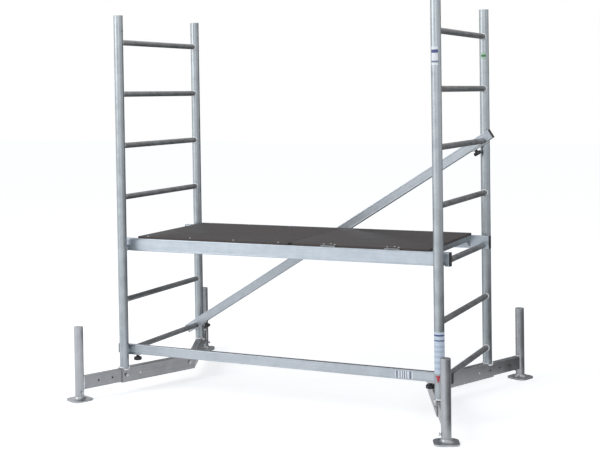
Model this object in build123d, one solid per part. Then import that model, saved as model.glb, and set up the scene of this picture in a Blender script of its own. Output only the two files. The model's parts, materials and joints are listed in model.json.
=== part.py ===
from build123d import *
from dataclasses import dataclass
import math
import os

# A light aluminium frame scaffold section: two ladder frames, a hooked-on deck with a hatch,
# a low brace, a diagonal brace and four telescopic arms with adjustable feet.
# Millimetres. +X runs along the deck, +Y across it, +Z up; the origin is on the ground at the middle.

# ---- ladder frames ----
bay_length = 1790.0          # along X, from the left stiles' axes to the right stiles' axes
frame_width = 830.0          # along Y, between the two stile axes of one frame
rung_pitch = 280.0
rung_count = 7
first_rung_height = 215.0
stile_head = 145.0           # stile left above the top rung
stile_diameter = 50.0
stile_wall = 2.5
socket_bore = 45.6           # the reamed mouth that takes the next frame's spigot
socket_depth = 130.0
socket_pin_drop = 86.0       # from the stile's top down to its cross hole
socket_pin_hole = 11.0
rung_diameter = 30.0
rung_wall = 2.0
weld_gap = 0.1               # left between welded pieces, where the weld itself lies

# ---- outrigger arms ----
arm_height = 80.0
arm_width = 40.0
arm_wall = 3.5
arm_corner = 3.0
arm_ground_gap = 50.0
arm_splay = 23.4             # degrees between an arm and the Y axis
arm_mouth_reach = 27.0       # from the stile axis out to the arm's open mouth
stile_saddle_drop = 9.0      # how far the stile's coped end straddles the arm
mitre_gap = 0.1
glide_thickness = 1.2
glide_length = 150.0
slide_gap = 0.3              # between any two pieces that slide on each other
inner_arm_wall = 3.0
inner_arm_corner = 2.0
inner_arm_tail = 150.0       # from the stile axis inboard to the inner arm's end
foot_reach = 284.0           # from the stile axis out to the foot's axis, along the arm
lock_pitch = 87.5
lock_holes_out = 2
lock_holes_in = 1

# ---- apex brackets and bolts ----
bracket_height = 60.0
bracket_thickness = 4.0
bracket_leg = 80.0
apex_bolt_inset = 27.0       # from the arms' common corner to the bolt, along the arm's middle line
bolt_diameter = 10.0
bolt_hole_clearance = 0.4
bolt_hex = 17.0
bolt_head_height = 6.4
nut_height = 8.4

# ---- feet ----
sleeve_diameter = 48.0
sleeve_wall = 3.0
sleeve_top = 390.0
sleeve_cap_thickness = 4.0
sleeve_vent_drop = 28.0
sleeve_vent_hole = 7.0
leg_wall = 3.0
leg_top_drop = 16.0          # from the sleeve's top down to the leg's end
leg_hole_pitch = 50.0
leg_hole_count = 5
plate_side = 120.0
plate_thickness = 8.0
plate_corner = 36.0
plate_edge_round = 2.5
collar_height = 18.5
collar_base_radius = 40.0

# ---- lock pins ----
lock_pin_diameter = 9.0
lock_pin_clearance = 0.1     # radial, in the piece that carries the pin
lock_catch_clearance = 0.5   # radial, in the piece that the pin locks
lock_stroke = 6.0
lock_head_diameter = 17.0
lock_head_thickness = 3.5
lock_head_round = 1.2
foot_lock_height = 42.0

# ---- deck ----
deck_rung = 3                # counted from the bottom
deck_side_gap = 28.0         # from a stile's inner side to the deck rail's outer side
rail_height = 68.0
rail_width = 28.0
rail_wall = 2.0
rail_corner = 2.0
rail_overhang = 36.0         # past the rung's axis, without the end cap
hook_gap = 0.3               # between a hooked piece and its rung
panel_thickness = 12.0
panel_edge_inset = 3.0       # from the rails' outer sides to the panel's edge
panel_end_clearance = 64.0   # from a rung's axis to the panel's end
panel_corner = 5.0
seam_x = 75.0
seam_gap = 2.0
crossbar_height = 30.0
crossbar_width = 30.0
crossbar_wall = 2.0
crossbar_inset = 4.0         # from the panel's end to the crossbar's outer side
gusset_length = 62.0
gusset_height = 30.0
gusset_thickness = 4.0
finger_notch_length = 22.0
finger_notch_width = 15.0

# ---- hatch hinges ----
hinge_spots = (222.0, 564.0) # from the seam to each hinge's middle
hinge_width = 80.0
knuckle_length = 21.0
knuckle_radius = 4.0
knuckle_gap = 0.5
hinge_pin_diameter = 4.0
hinge_pin_clearance = 0.05
hinge_edge_inset = 0.5       # from the rail's outer side to the knuckle
hinge_lift = 0.5             # from the rail's top up to the knuckle
hatch_edge_gap = 1.0
flap_thickness = 2.0
flap_length = 48.0
flap_lift = 0.3              # from the rail's top up to the flap, which lies in the board's underside
flap_recess_gap = 0.5

# ---- rivets ----
rivet_diameter = 5.0
rivet_hole_clearance = 0.1
rivet_head_diameter = 10.0
rivet_head_height = 2.2
rivet_grip = 3.0             # shank length past the pieces that it holds
deck_rivet_count = 4
deck_rivet_end = 60.0
glide_rivet_inset = 90.0

# ---- braces ----
brace_height = 50.0
brace_width = 25.0
brace_wall = 2.0
brace_corner = 2.0
brace_side_gap = 1.5
low_brace_rung = 1
low_brace_overhang = 48.0
diagonal_low_rung = 1
diagonal_high_rung = 5
diagonal_overhang = 56.0
cap_flange = 6.0
cap_plug = 18.0
cap_clearance = 0.2
cap_corner = 1.5

# ---- brace clamps ----
knob_offset = 62.0           # from the rung's axis to the knob's axis, along the brace
claw_thickness = 5.0
claw_width = 20.0
claw_tip = 20.0              # past the rung's axis
claw_tail = 18.0             # past the knob's axis
stud_diameter = 8.0
stud_clearance = 0.1
clamp_nut_height = 8.0
clamp_nut_hex = 13.0
knob_neck_diameter = 20.0
knob_neck_height = 11.0
knob_disc_diameter = 43.0
knob_disc_height = 17.0
knob_round = 5.0
knob_gap = 0.3

# ---- worked out from the sizes above ----
half_bay = bay_length / 2
half_width = frame_width / 2
stile_radius = stile_diameter / 2
rung_radius = rung_diameter / 2
stile_inner_y = half_width - stile_radius
stile_top = first_rung_height + (rung_count - 1) * rung_pitch + stile_head
arm_middle = arm_ground_gap + arm_height / 2
arm_top = arm_ground_gap + arm_height
inner_arm_height = arm_height - 2 * (arm_wall + glide_thickness + slide_gap)
inner_arm_width = arm_width - 2 * (arm_wall + glide_thickness + slide_gap)
splay_sin = math.sin(math.radians(arm_splay))
splay_cos = math.cos(math.radians(arm_splay))
apex_reach = half_width / splay_cos
sleeve_radius = sleeve_diameter / 2
leg_radius = sleeve_radius - sleeve_wall - slide_gap
sleeve_bottom = plate_thickness + collar_height + slide_gap
hook_depth = rung_radius + hook_gap
rail_outer_y = stile_inner_y - deck_side_gap
rail_middle_y = rail_outer_y - rail_width / 2
rail_inner_y = rail_outer_y - rail_width
deck_rung_z = first_rung_height + (deck_rung - 1) * rung_pitch
rail_bottom = deck_rung_z - hook_depth
rail_top = rail_bottom + rail_height
panel_top = rail_top + panel_thickness
panel_end_x = half_bay - panel_end_clearance
brace_y = stile_inner_y - brace_side_gap - brace_width / 2
hinge_y = -(rail_outer_y - hinge_edge_inset - knuckle_radius)
hinge_z = rail_top + hinge_lift + knuckle_radius
flap_top = rail_top + flap_lift + flap_thickness

CENTRE = Align.CENTER
LOW = Align.MIN
HIGH = Align.MAX
FAR = 4000.0                 # longer than anything here, for cutting tools


@dataclass(frozen=True)
class Corner:
    """One of the four corners: its name and the signs of its X and Y."""

    name: str
    end: int
    side: int

    @property
    def out(self):
        """Unit vector along the arm, away from the scaffold."""
        return Vector(self.end * splay_sin, self.side * splay_cos, 0)

    @property
    def arm_plane(self):
        """Local frame on the arm's middle line under the stile: x outwards, z up."""
        origin = (self.end * half_bay, self.side * half_width, arm_middle)
        return Plane(origin=origin, x_dir=self.out, z_dir=(0, 0, 1))

    @property
    def foot_plane(self):
        """Local frame on the ground at the foot's axis: x outwards, z up."""
        origin = Vector(self.end * half_bay, self.side * half_width, 0) + self.out * foot_reach
        return Plane(origin=origin, x_dir=self.out, z_dir=(0, 0, 1))

    @property
    def pin_side(self):
        """Sign of the local y that faces the scaffold's middle, where the lock pins sit."""
        return self.end * self.side


CORNERS = [
    Corner("front_left", -1, -1),
    Corner("front_right", 1, -1),
    Corner("rear_left", -1, 1),
    Corner("rear_right", 1, 1),
]


def rung_z(number):
    """Height of a rung's axis, counted from the bottom."""
    return first_rung_height + (number - 1) * rung_pitch


def cylinder(plane, radius, start, end):
    """Round bar on a plane's z axis between two heights."""
    return plane * Pos(0, 0, start) * Cylinder(radius, end - start, align=(CENTRE, CENTRE, LOW))


def y_rod(x, z, radius, length=FAR, y=0.0):
    """Round bar along Y, centred on y."""
    return Pos(x, y, z) * Rot(90, 0, 0) * Cylinder(radius, length)


def bar(length, width, height, corner):
    """Bar along X with rounded long edges, centred on the origin."""
    section = Plane.YZ * RectangleRounded(width, height, corner)
    return extrude(section, length / 2, both=True)


def box_tube(length, width, height, wall, corner):
    """Rectangular tube along X, centred on the origin."""
    return bar(length, width, height, corner) - Box(length + 1, width - 2 * wall, height - 2 * wall)


def side_pin_plane(plane, x, z, side):
    """Plane whose z axis leaves a local frame sideways, at a local x and z."""
    direction = plane.y_dir * side
    origin = plane.origin + plane.x_dir * x + plane.z_dir * z
    return Plane(origin=origin, x_dir=plane.z_dir, z_dir=direction)


def lock_pin(plane, tip, face):
    """Lock pin drawn back out of its catch, its tip and the carrying face given along the plane's z."""
    head_start = face + lock_stroke + slide_gap
    shank = cylinder(plane, lock_pin_diameter / 2, tip, head_start)
    head = Cylinder(lock_head_diameter / 2, lock_head_thickness, align=(CENTRE, CENTRE, LOW))
    head = fillet(head.edges(), lock_head_round)
    return shank + plane * Pos(0, 0, head_start) * head


def rivet(plane, grip):
    """Domed rivet on a plane, its head above z = 0 and its shank down through the grip."""
    head_radius = rivet_head_diameter / 2
    ball_radius = (head_radius ** 2 + rivet_head_height ** 2) / (2 * rivet_head_height)
    ball = Pos(0, 0, rivet_head_height - ball_radius) * Sphere(ball_radius)
    dome = ball & Cylinder(rivet_head_diameter, rivet_head_diameter, align=(CENTRE, CENTRE, LOW))
    shank = Cylinder(rivet_diameter / 2, grip, align=(CENTRE, CENTRE, HIGH))
    return plane * (dome + shank)


def rivet_hole(plane, depth):
    """Cutting tool for one rivet, from just above the plane down to a depth."""
    return cylinder(plane, rivet_diameter / 2 + rivet_hole_clearance, -depth, 1)


# ---- ladder frames ----

def make_stile(corner):
    """Round stile: a reamed socket and cross hole at the top, coped over its arm at the bottom."""
    x = corner.end * half_bay
    y = corner.side * half_width
    foot = Plane(origin=(x, y, 0))
    bottom = arm_top - stile_saddle_drop
    tube = cylinder(foot, stile_radius, bottom, stile_top)
    tube -= cylinder(foot, stile_radius - stile_wall, bottom - 1, stile_top + 1)
    tube -= cylinder(foot, socket_bore / 2, stile_top - socket_depth, stile_top + 1)
    hole = Rot(0, 90, 0) * Cylinder(socket_pin_hole / 2, stile_diameter * 2)
    tube -= Pos(x, y, stile_top - socket_pin_drop) * hole
    saddle = Box(stile_diameter * 4, arm_width + 2 * weld_gap, arm_height + 2 * weld_gap)
    return tube - corner.arm_plane * saddle


def make_rungs(end):
    """All rungs of one frame, each coped to its two stiles."""
    x = end * half_bay
    rungs = []
    for number in range(1, rung_count + 1):
        tube = y_rod(x, rung_z(number), rung_radius, frame_width)
        tube -= y_rod(x, rung_z(number), rung_radius - rung_wall, frame_width + 1)
        for side in (-1, 1):
            stile = Plane(origin=(x, side * half_width, 0))
            tube -= cylinder(stile, stile_radius + weld_gap, 0, FAR)
        rungs.append(tube)
    return rungs


# ---- outrigger arms ----

def keep_own_half(shape, corner, gap):
    """The part of a shape on its own corner's side of the middle plane."""
    half = Pos(0, corner.side * (gap + FAR / 2), 0) * Box(FAR, FAR, FAR)
    return shape & half


def arm_bar(corner, start, end, width, height, wall, round_over):
    """Rectangular tube along an arm between two distances from the stile axis."""
    tube = box_tube(end - start, width, height, wall, round_over)
    return corner.arm_plane * Pos((start + end) / 2, 0, 0) * tube


def make_arm_sleeve(corner):
    """Outer arm: open at the mouth, mitred at the apex, drilled for its pin, rivets and bolt."""
    start = -(apex_reach + arm_width)
    sleeve = arm_bar(corner, start, arm_mouth_reach, arm_width, arm_height, arm_wall, arm_corner)
    sleeve = keep_own_half(sleeve, corner, mitre_gap)
    pin = side_pin_plane(corner.arm_plane, 0, 0, corner.pin_side)
    sleeve -= cylinder(pin, lock_pin_diameter / 2 + lock_pin_clearance, 0, arm_width)
    sleeve -= cylinder(pin, lock_pin_diameter / 2 + lock_catch_clearance, -arm_width, 0)
    for face in (-1, 1):
        sleeve -= rivet_hole(glide_rivet_plane(corner, face), arm_wall + glide_thickness)
    bolt = side_pin_plane(corner.arm_plane, -(apex_reach - apex_bolt_inset), 0, corner.pin_side)
    return sleeve - cylinder(bolt, (bolt_diameter + bolt_hole_clearance) / 2, -arm_width, arm_width)


def glide_rivet_plane(corner, face):
    """Plane of a glide's rivet on one face of the outer arm."""
    plane = side_pin_plane(corner.arm_plane, -glide_rivet_inset, 0, face)
    return plane.offset(arm_width / 2)


def make_glide(corner):
    """Plastic lining in the arm's mouth that the inner arm slides on."""
    width = arm_width - 2 * arm_wall
    height = arm_height - 2 * arm_wall
    start = arm_mouth_reach - glide_length
    lining = Box(glide_length, width, height) - Box(FAR, width - 2 * glide_thickness, height - 2 * glide_thickness)
    lining = corner.arm_plane * Pos((start + arm_mouth_reach) / 2, 0, 0) * lining
    pin = side_pin_plane(corner.arm_plane, 0, 0, corner.pin_side)
    lining -= cylinder(pin, lock_pin_diameter / 2 + lock_catch_clearance, -arm_width, arm_width)
    for face in (-1, 1):
        lining -= rivet_hole(glide_rivet_plane(corner, face), arm_wall + glide_thickness)
    return lining


def make_glide_rivets(corner):
    """The two rivets that hold one glide."""
    grip = arm_wall + glide_thickness
    return [rivet(glide_rivet_plane(corner, face), grip) for face in (-1, 1)]


def make_inner_arm(corner):
    """Sliding arm with its row of lock holes, coped to the foot sleeve."""
    start = -inner_arm_tail
    tube = arm_bar(corner, start, foot_reach, inner_arm_width, inner_arm_height, inner_arm_wall, inner_arm_corner)
    for step in range(-lock_holes_in, lock_holes_out + 1):
        hole = side_pin_plane(corner.arm_plane, step * lock_pitch, 0, 1)
        tube -= cylinder(hole, lock_pin_diameter / 2 + lock_catch_clearance, -arm_width, arm_width)
    return tube - cylinder(corner.foot_plane, sleeve_radius + weld_gap, 0, sleeve_top)


def make_arm_lock_pin(corner):
    """Lock pin of one arm, just clear of the inner arm."""
    pin = side_pin_plane(corner.arm_plane, 0, 0, corner.pin_side)
    return lock_pin(pin, inner_arm_width / 2 + slide_gap, arm_width / 2)


# ---- apex brackets and bolts ----

def make_apex_bracket(end):
    """Bent plate in the corner between the two arms of one end."""
    bracket = None
    for corner in CORNERS:
        if corner.end != end:
            continue
        start = -(apex_reach + arm_width)
        stop = -(apex_reach - bracket_leg)
        plate = Box(stop - start, bracket_thickness, bracket_height)
        offset = arm_width / 2 + weld_gap + bracket_thickness / 2
        plate = corner.arm_plane * Pos((start + stop) / 2, -corner.pin_side * offset, 0) * plate
        plate = keep_own_half(plate, corner, 0)
        bolt = side_pin_plane(corner.arm_plane, -(apex_reach - apex_bolt_inset), 0, corner.pin_side)
        plate -= cylinder(bolt, (bolt_diameter + bolt_hole_clearance) / 2, -arm_width, 0)
        bracket = plate if bracket is None else bracket + plate
    return bracket


def make_apex_bolt(corner):
    """Hexagon bolt through one arm and the bracket, and its nut."""
    plane = side_pin_plane(corner.arm_plane, -(apex_reach - apex_bolt_inset), 0, corner.pin_side)
    head_face = arm_width / 2
    nut_face = -(arm_width / 2 + weld_gap + bracket_thickness)
    hexagon = RegularPolygon(bolt_hex / 2, 6, major_radius=False)
    head = plane * Pos(0, 0, head_face) * extrude(hexagon, bolt_head_height)
    shank = cylinder(plane, bolt_diameter / 2, nut_face - nut_height - 2, head_face)
    nut = extrude(hexagon - Circle(bolt_diameter / 2 + weld_gap), nut_height)
    return [head + shank, plane * Pos(0, 0, nut_face - nut_height) * nut]


# ---- feet ----

def foot_pin_plane(corner, height):
    """Plane through a foot's axis whose z axis leaves along its lock pin."""
    return side_pin_plane(corner.foot_plane, 0, height, corner.pin_side)


def make_foot_sleeve(corner):
    """Upright tube welded to the inner arm, closed at the top."""
    plane = corner.foot_plane
    sleeve = cylinder(plane, sleeve_radius, sleeve_bottom, sleeve_top)
    crown = sleeve.faces().sort_by(Axis.Z)[-1].edges()
    sleeve = fillet(crown, sleeve_wall / 2)
    sleeve -= cylinder(plane, sleeve_radius - sleeve_wall, 0, sleeve_top - sleeve_cap_thickness)
    pin = foot_pin_plane(corner, foot_lock_height)
    sleeve -= cylinder(pin, lock_pin_diameter / 2 + lock_pin_clearance, 0, sleeve_diameter)
    vent = foot_pin_plane(corner, sleeve_top - sleeve_vent_drop)
    return sleeve - cylinder(vent, sleeve_vent_hole / 2, 0, sleeve_diameter)


def make_foot_leg(corner):
    """Sliding leg with its row of lock holes, welded into a flared collar on a base plate."""
    plate = extrude(RectangleRounded(plate_side, plate_side, plate_corner), plate_thickness)
    plate = fillet(plate.faces().sort_by(Axis.Z)[-1].edges(), plate_edge_round)
    collar_top = plate_thickness + collar_height
    middle = (sleeve_radius + (collar_base_radius - sleeve_radius) * 0.24, plate_thickness + collar_height * 0.3)
    flare = ThreePointArc((collar_base_radius, plate_thickness), middle, (sleeve_radius, collar_top))
    outline = flare + Polyline((sleeve_radius, collar_top), (0, collar_top), (0, plate_thickness - 1),
                               (collar_base_radius, plate_thickness - 1), (collar_base_radius, plate_thickness))
    collar = revolve(Plane.XZ * make_face(outline), Axis.Z)
    leg_top = sleeve_top - leg_top_drop
    leg = plate + collar + cylinder(Plane.XY, leg_radius, plate_thickness, leg_top)
    leg -= cylinder(Plane.XY, leg_radius - leg_wall, plate_thickness, leg_top + 1)
    leg = corner.foot_plane * leg
    for step in range(leg_hole_count):
        hole = foot_pin_plane(corner, foot_lock_height + step * leg_hole_pitch)
        leg -= cylinder(hole, lock_pin_diameter / 2 + lock_catch_clearance, -sleeve_diameter, sleeve_diameter)
    return leg


def make_foot_lock_pin(corner):
    """Lock pin of one foot, just clear of the leg."""
    return lock_pin(foot_pin_plane(corner, foot_lock_height), leg_radius + slide_gap, sleeve_radius)


# ---- deck ----

def hook_cut(x, z):
    """Cutting tool for the open notch that drops over a rung: round at its top, open below."""
    radius = rung_radius + hook_gap
    mouth = Pos(x, 0, z) * Box(2 * radius, FAR, 2 * rail_height, align=(CENTRE, CENTRE, HIGH))
    return y_rod(x, z, radius) + mouth


def make_deck_rail(side):
    """Side rail of the deck, notched over the rungs at both ends."""
    length = bay_length + 2 * rail_overhang
    rail = box_tube(length, rail_width, rail_height, rail_wall, rail_corner)
    rail = Pos(0, side * rail_middle_y, rail_bottom + rail_height / 2) * rail
    for end in (-1, 1):
        rail -= hook_cut(end * half_bay, deck_rung_z)
    for plane in panel_rivet_planes(side):
        rail -= rivet_hole(plane, panel_thickness + rail_wall + rivet_grip)
    return rail


def make_crossbar(x):
    """Square tube across the deck, between the rails and under the panel."""
    length = 2 * (rail_inner_y - weld_gap)
    tube = box_tube(length, crossbar_width, crossbar_height, crossbar_wall, rail_corner)
    return Pos(x, 0, rail_top - crossbar_height / 2) * Rot(0, 0, 90) * tube


def crossbar_x(end):
    """Place of a crossbar: -1 at the left end, 0 under the seam, 1 at the right end."""
    if end == 0:
        return seam_x
    return end * (panel_end_x - crossbar_inset - crossbar_width / 2)


def make_gusset(end, side):
    """Plate with a curved edge that ties an end crossbar to a rail."""
    top = rail_top - crossbar_height - weld_gap
    inner = rail_inner_y - weld_gap
    corner_point = (side * inner, top)
    along = (side * (inner - gusset_length), top)
    down = (side * inner, top - gusset_height)
    bow = (side * (inner - gusset_length * 0.36), top - gusset_height * 0.36)
    outline = Polyline(along, corner_point, down) + ThreePointArc(down, bow, along)
    outer_x = end * (panel_end_x - crossbar_inset - gusset_thickness / 2)
    plate = extrude(Plane.YZ * make_face(outline), gusset_thickness / 2, both=True)
    return Pos(outer_x, 0, 0) * plate


def panel_rivet_planes(side):
    """Planes on the fixed panel's top for the rivets along one rail."""
    first = -panel_end_x + deck_rivet_end
    last = seam_x - seam_gap / 2 - deck_rivet_end
    step = (last - first) / (deck_rivet_count - 1)
    y = side * rail_middle_y
    return [Plane(origin=(first + step * index, y, panel_top)) for index in range(deck_rivet_count)]


def make_panel():
    """Fixed half of the deck's board."""
    start = -panel_end_x
    end = seam_x - seam_gap / 2
    width = 2 * (rail_outer_y - panel_edge_inset)
    outline = Rectangle(end - start, width)
    outline = fillet(outline.vertices().group_by(Axis.X)[0], panel_corner)
    board = Pos((start + end) / 2, 0, rail_top) * extrude(outline, panel_thickness)
    for side in (-1, 1):
        for plane in panel_rivet_planes(side):
            board -= rivet_hole(plane, panel_thickness + 1)
    return board


def make_deck_rivets():
    """Rivets that hold the fixed panel down on both rails."""
    grip = panel_thickness + rail_wall + rivet_grip
    return [rivet(plane, grip) for side in (-1, 1) for plane in panel_rivet_planes(side)]


# ---- hatch ----

def flap_rivet_planes(spot):
    """Planes on the hatch's top for the three rivets of one hinge flap."""
    board_edge = hinge_y + knuckle_radius + hatch_edge_gap
    near = board_edge + rivet_head_diameter
    far = hinge_y + flap_length - rivet_head_diameter
    x = seam_x + spot
    reach = hinge_width / 2 - rivet_head_diameter
    places = [(x - reach, near), (x + reach, near), (x, far)]
    return [Plane(origin=(px, py, panel_top)) for px, py in places]


def make_hatch_panel():
    """Hinged half of the deck's board: a finger notch at the seam, and a recess below for each hinge flap."""
    start = seam_x + seam_gap / 2
    end = panel_end_x
    front = hinge_y + knuckle_radius + hatch_edge_gap
    back = rail_outer_y - panel_edge_inset
    outline = Rectangle(end - start, back - front)
    outline = fillet(outline.vertices().group_by(Axis.X)[-1], panel_corner)
    board = Pos((start + end) / 2, (front + back) / 2, rail_top) * extrude(outline, panel_thickness)
    notch = Box(2 * finger_notch_length, 2 * finger_notch_width, FAR)
    board -= Pos(start, front, 0) * notch
    recess_width = hinge_width + 2 * flap_recess_gap
    recess_back = hinge_y + flap_length + flap_recess_gap
    for spot in hinge_spots:
        recess = Box(recess_width, recess_back - front + 1, 2 * (flap_top - rail_top), align=(CENTRE, HIGH, CENTRE))
        board -= Pos(seam_x + spot, recess_back, rail_top) * recess
        for plane in flap_rivet_planes(spot):
            board -= rivet_hole(plane, panel_thickness + 1)
    return board


def knuckle(x, length):
    """Plain knuckle on the hinge axis, with its pin hole."""
    barrel = Cylinder(knuckle_radius, length) - Cylinder(hinge_pin_diameter / 2 + hinge_pin_clearance, length + 1)
    return Pos(x, hinge_y, hinge_z) * Rot(0, 90, 0) * barrel


def make_fixed_knuckles(spot):
    """The two outer knuckles of a hinge, each on a block welded to the front rail."""
    pieces = []
    for side in (-1, 1):
        x = seam_x + spot + side * (hinge_width - knuckle_length) / 2
        block = Box(knuckle_length, 2 * knuckle_radius, hinge_z - rail_top, align=(CENTRE, CENTRE, LOW))
        block = Pos(x, hinge_y, rail_top) * block
        hole = Pos(x, hinge_y, hinge_z) * Rot(0, 90, 0) * Cylinder(knuckle_radius - 1, knuckle_length + 1)
        pieces.append((block - hole) + knuckle(x, knuckle_length))
    return pieces


def make_hinge_flap(spot):
    """Moving leaf of a hinge: its middle knuckle and the plate let into the hatch's underside."""
    x = seam_x + spot
    length = hinge_width - 2 * (knuckle_length + knuckle_gap)
    board_edge = hinge_y + knuckle_radius + hatch_edge_gap
    strap = Box(length, board_edge - hinge_y, flap_thickness, align=(CENTRE, LOW, HIGH))
    strap = Pos(x, hinge_y, flap_top) * strap
    strap -= Pos(x, hinge_y, hinge_z) * Rot(0, 90, 0) * Cylinder(knuckle_radius - 1, length + 1)
    plate = Box(hinge_width, hinge_y + flap_length - board_edge, flap_thickness, align=(CENTRE, LOW, HIGH))
    plate = Pos(x, board_edge, flap_top) * plate
    plate = fillet(plate.edges().filter_by(Axis.Z).group_by(Axis.Y)[-1], 2 * panel_corner)
    flap = strap + plate + knuckle(x, length)
    for plane in flap_rivet_planes(spot):
        flap -= rivet_hole(plane, panel_thickness + 1)
    return flap


def make_hinge_pin(spot):
    """Pin of one hinge, as long as its knuckles."""
    pin = Cylinder(hinge_pin_diameter / 2, hinge_width)
    return Pos(seam_x + spot, hinge_y, hinge_z) * Rot(0, 90, 0) * pin


def make_hatch_rivets():
    """Rivets through the hatch and both hinge flaps."""
    grip = panel_thickness - flap_lift
    return [rivet(plane, grip) for spot in hinge_spots for plane in flap_rivet_planes(spot)]


# ---- end caps ----

def end_cap(width, height, wall, corner):
    """Push-in plug: its flange stands on the tube's end at x = 0 and its plug reaches back inside."""
    flange = Pos(cap_flange / 2, 0, 0) * bar(cap_flange, width, height, corner)
    flange = fillet(flange.faces().sort_by(Axis.X)[-1].edges(), cap_corner)
    inner = 2 * (wall + cap_clearance)
    return flange + Pos(-cap_plug / 2, 0, 0) * Box(cap_plug, width - inner, height - inner)


def make_rail_caps():
    """The four end caps of the deck's rails."""
    caps = []
    for side in (-1, 1):
        for end in (-1, 1):
            cap = Rot(0, 0, 0 if end > 0 else 180) * end_cap(rail_width, rail_height, rail_wall, rail_corner)
            x = end * (half_bay + rail_overhang)
            caps.append(Pos(x, side * rail_middle_y, rail_bottom + rail_height / 2) * cap)
    return caps


# ---- braces ----

@dataclass(frozen=True)
class Brace:
    """A rectangular brace hooked over a left rung and a right rung, and clamped to both."""

    y: float
    left_rung: int
    right_rung: int
    overhang: float

    @property
    def rise(self):
        """Height gained from the left rung to the right rung."""
        return rung_z(self.right_rung) - rung_z(self.left_rung)

    @property
    def span(self):
        """Distance between the two rung axes, along the brace."""
        return math.hypot(bay_length, self.rise)

    @property
    def plane(self):
        """Local frame at mid-span on the line through both rung axes: x along the brace, z up."""
        origin = (0, self.y, (rung_z(self.left_rung) + rung_z(self.right_rung)) / 2)
        return Plane(origin=origin, x_dir=(bay_length, 0, self.rise), z_dir=(-self.rise, 0, bay_length))

    def clamp_plane(self, end):
        """Local frame on the brace's underside at a clamp's knob, its z pointing down and away."""
        local = self.plane
        origin = local.origin + local.x_dir * (end * (self.span / 2 - knob_offset)) - local.z_dir * hook_depth
        return Plane(origin=origin, x_dir=local.x_dir * end, z_dir=local.z_dir * -1)


LOW_BRACE = Brace(-brace_y, low_brace_rung, low_brace_rung, low_brace_overhang)
DIAGONAL_BRACE = Brace(brace_y, diagonal_low_rung, diagonal_high_rung, diagonal_overhang)
BRACES = {"low": LOW_BRACE, "diagonal": DIAGONAL_BRACE}
END_NAMES = {"left": -1, "right": 1}


def make_brace(brace):
    """Brace tube, notched over its rungs and drilled for its clamp studs."""
    length = brace.span + 2 * brace.overhang
    tube = Pos(0, 0, brace_height / 2 - hook_depth) * box_tube(length, brace_width, brace_height, brace_wall, brace_corner)
    for end in (-1, 1):
        tube -= hook_cut(end * brace.span / 2, 0)
    tube = brace.plane * tube
    for end in (-1, 1):
        tube -= cylinder(brace.clamp_plane(end), stud_diameter / 2 + stud_clearance, -brace_wall - 1, 1)
    return tube


def make_claw(brace, end):
    """Flat claw drawn up under a rung by its knob."""
    length = knob_offset + claw_tip + claw_tail
    plate = Box(length, claw_width, claw_thickness, align=(LOW, CENTRE, LOW))
    plate = fillet(plate.edges().filter_by(Axis.Z), claw_width / 5)
    plate = brace.clamp_plane(end) * Pos(-claw_tail, 0, 0) * plate
    return plate - cylinder(brace.clamp_plane(end), stud_diameter / 2 + stud_clearance, -1, claw_thickness + 1)


def make_clamp_nut(brace, end):
    """Nut fixed inside the brace for a clamp's stud."""
    hexagon = RegularPolygon(clamp_nut_hex / 2, 6, major_radius=False)
    nut = extrude(hexagon - Circle(stud_diameter / 2 + stud_clearance), clamp_nut_height)
    return brace.clamp_plane(end) * Pos(0, 0, -brace_wall - clamp_nut_height) * nut


def make_brace_caps(brace):
    """The two end caps of one brace."""
    caps = []
    for end in (-1, 1):
        cap = Rot(0, 0, 0 if end > 0 else 180) * end_cap(brace_width, brace_height, brace_wall, brace_corner)
        place = Pos(end * (brace.span / 2 + brace.overhang), 0, brace_height / 2 - hook_depth)
        caps.append(brace.plane * place * cap)
    return caps


def make_knob(brace, end):
    """Round clamp knob with its neck and threaded stud in one piece."""
    neck_top = claw_thickness + knob_gap
    disc_top = neck_top + knob_neck_height
    disc = cylinder(Plane.XY, knob_disc_diameter / 2, disc_top, disc_top + knob_disc_height)
    disc = fillet(disc.edges().filter_by(GeomType.CIRCLE), knob_round)
    neck = cylinder(Plane.XY, knob_neck_diameter / 2, neck_top, disc_top + knob_round)
    stud = cylinder(Plane.XY, stud_diameter / 2, -(brace_wall + clamp_nut_height + 2), disc_top)
    return brace.clamp_plane(end) * (disc + neck + stud)


# ---- the whole section ----

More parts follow.
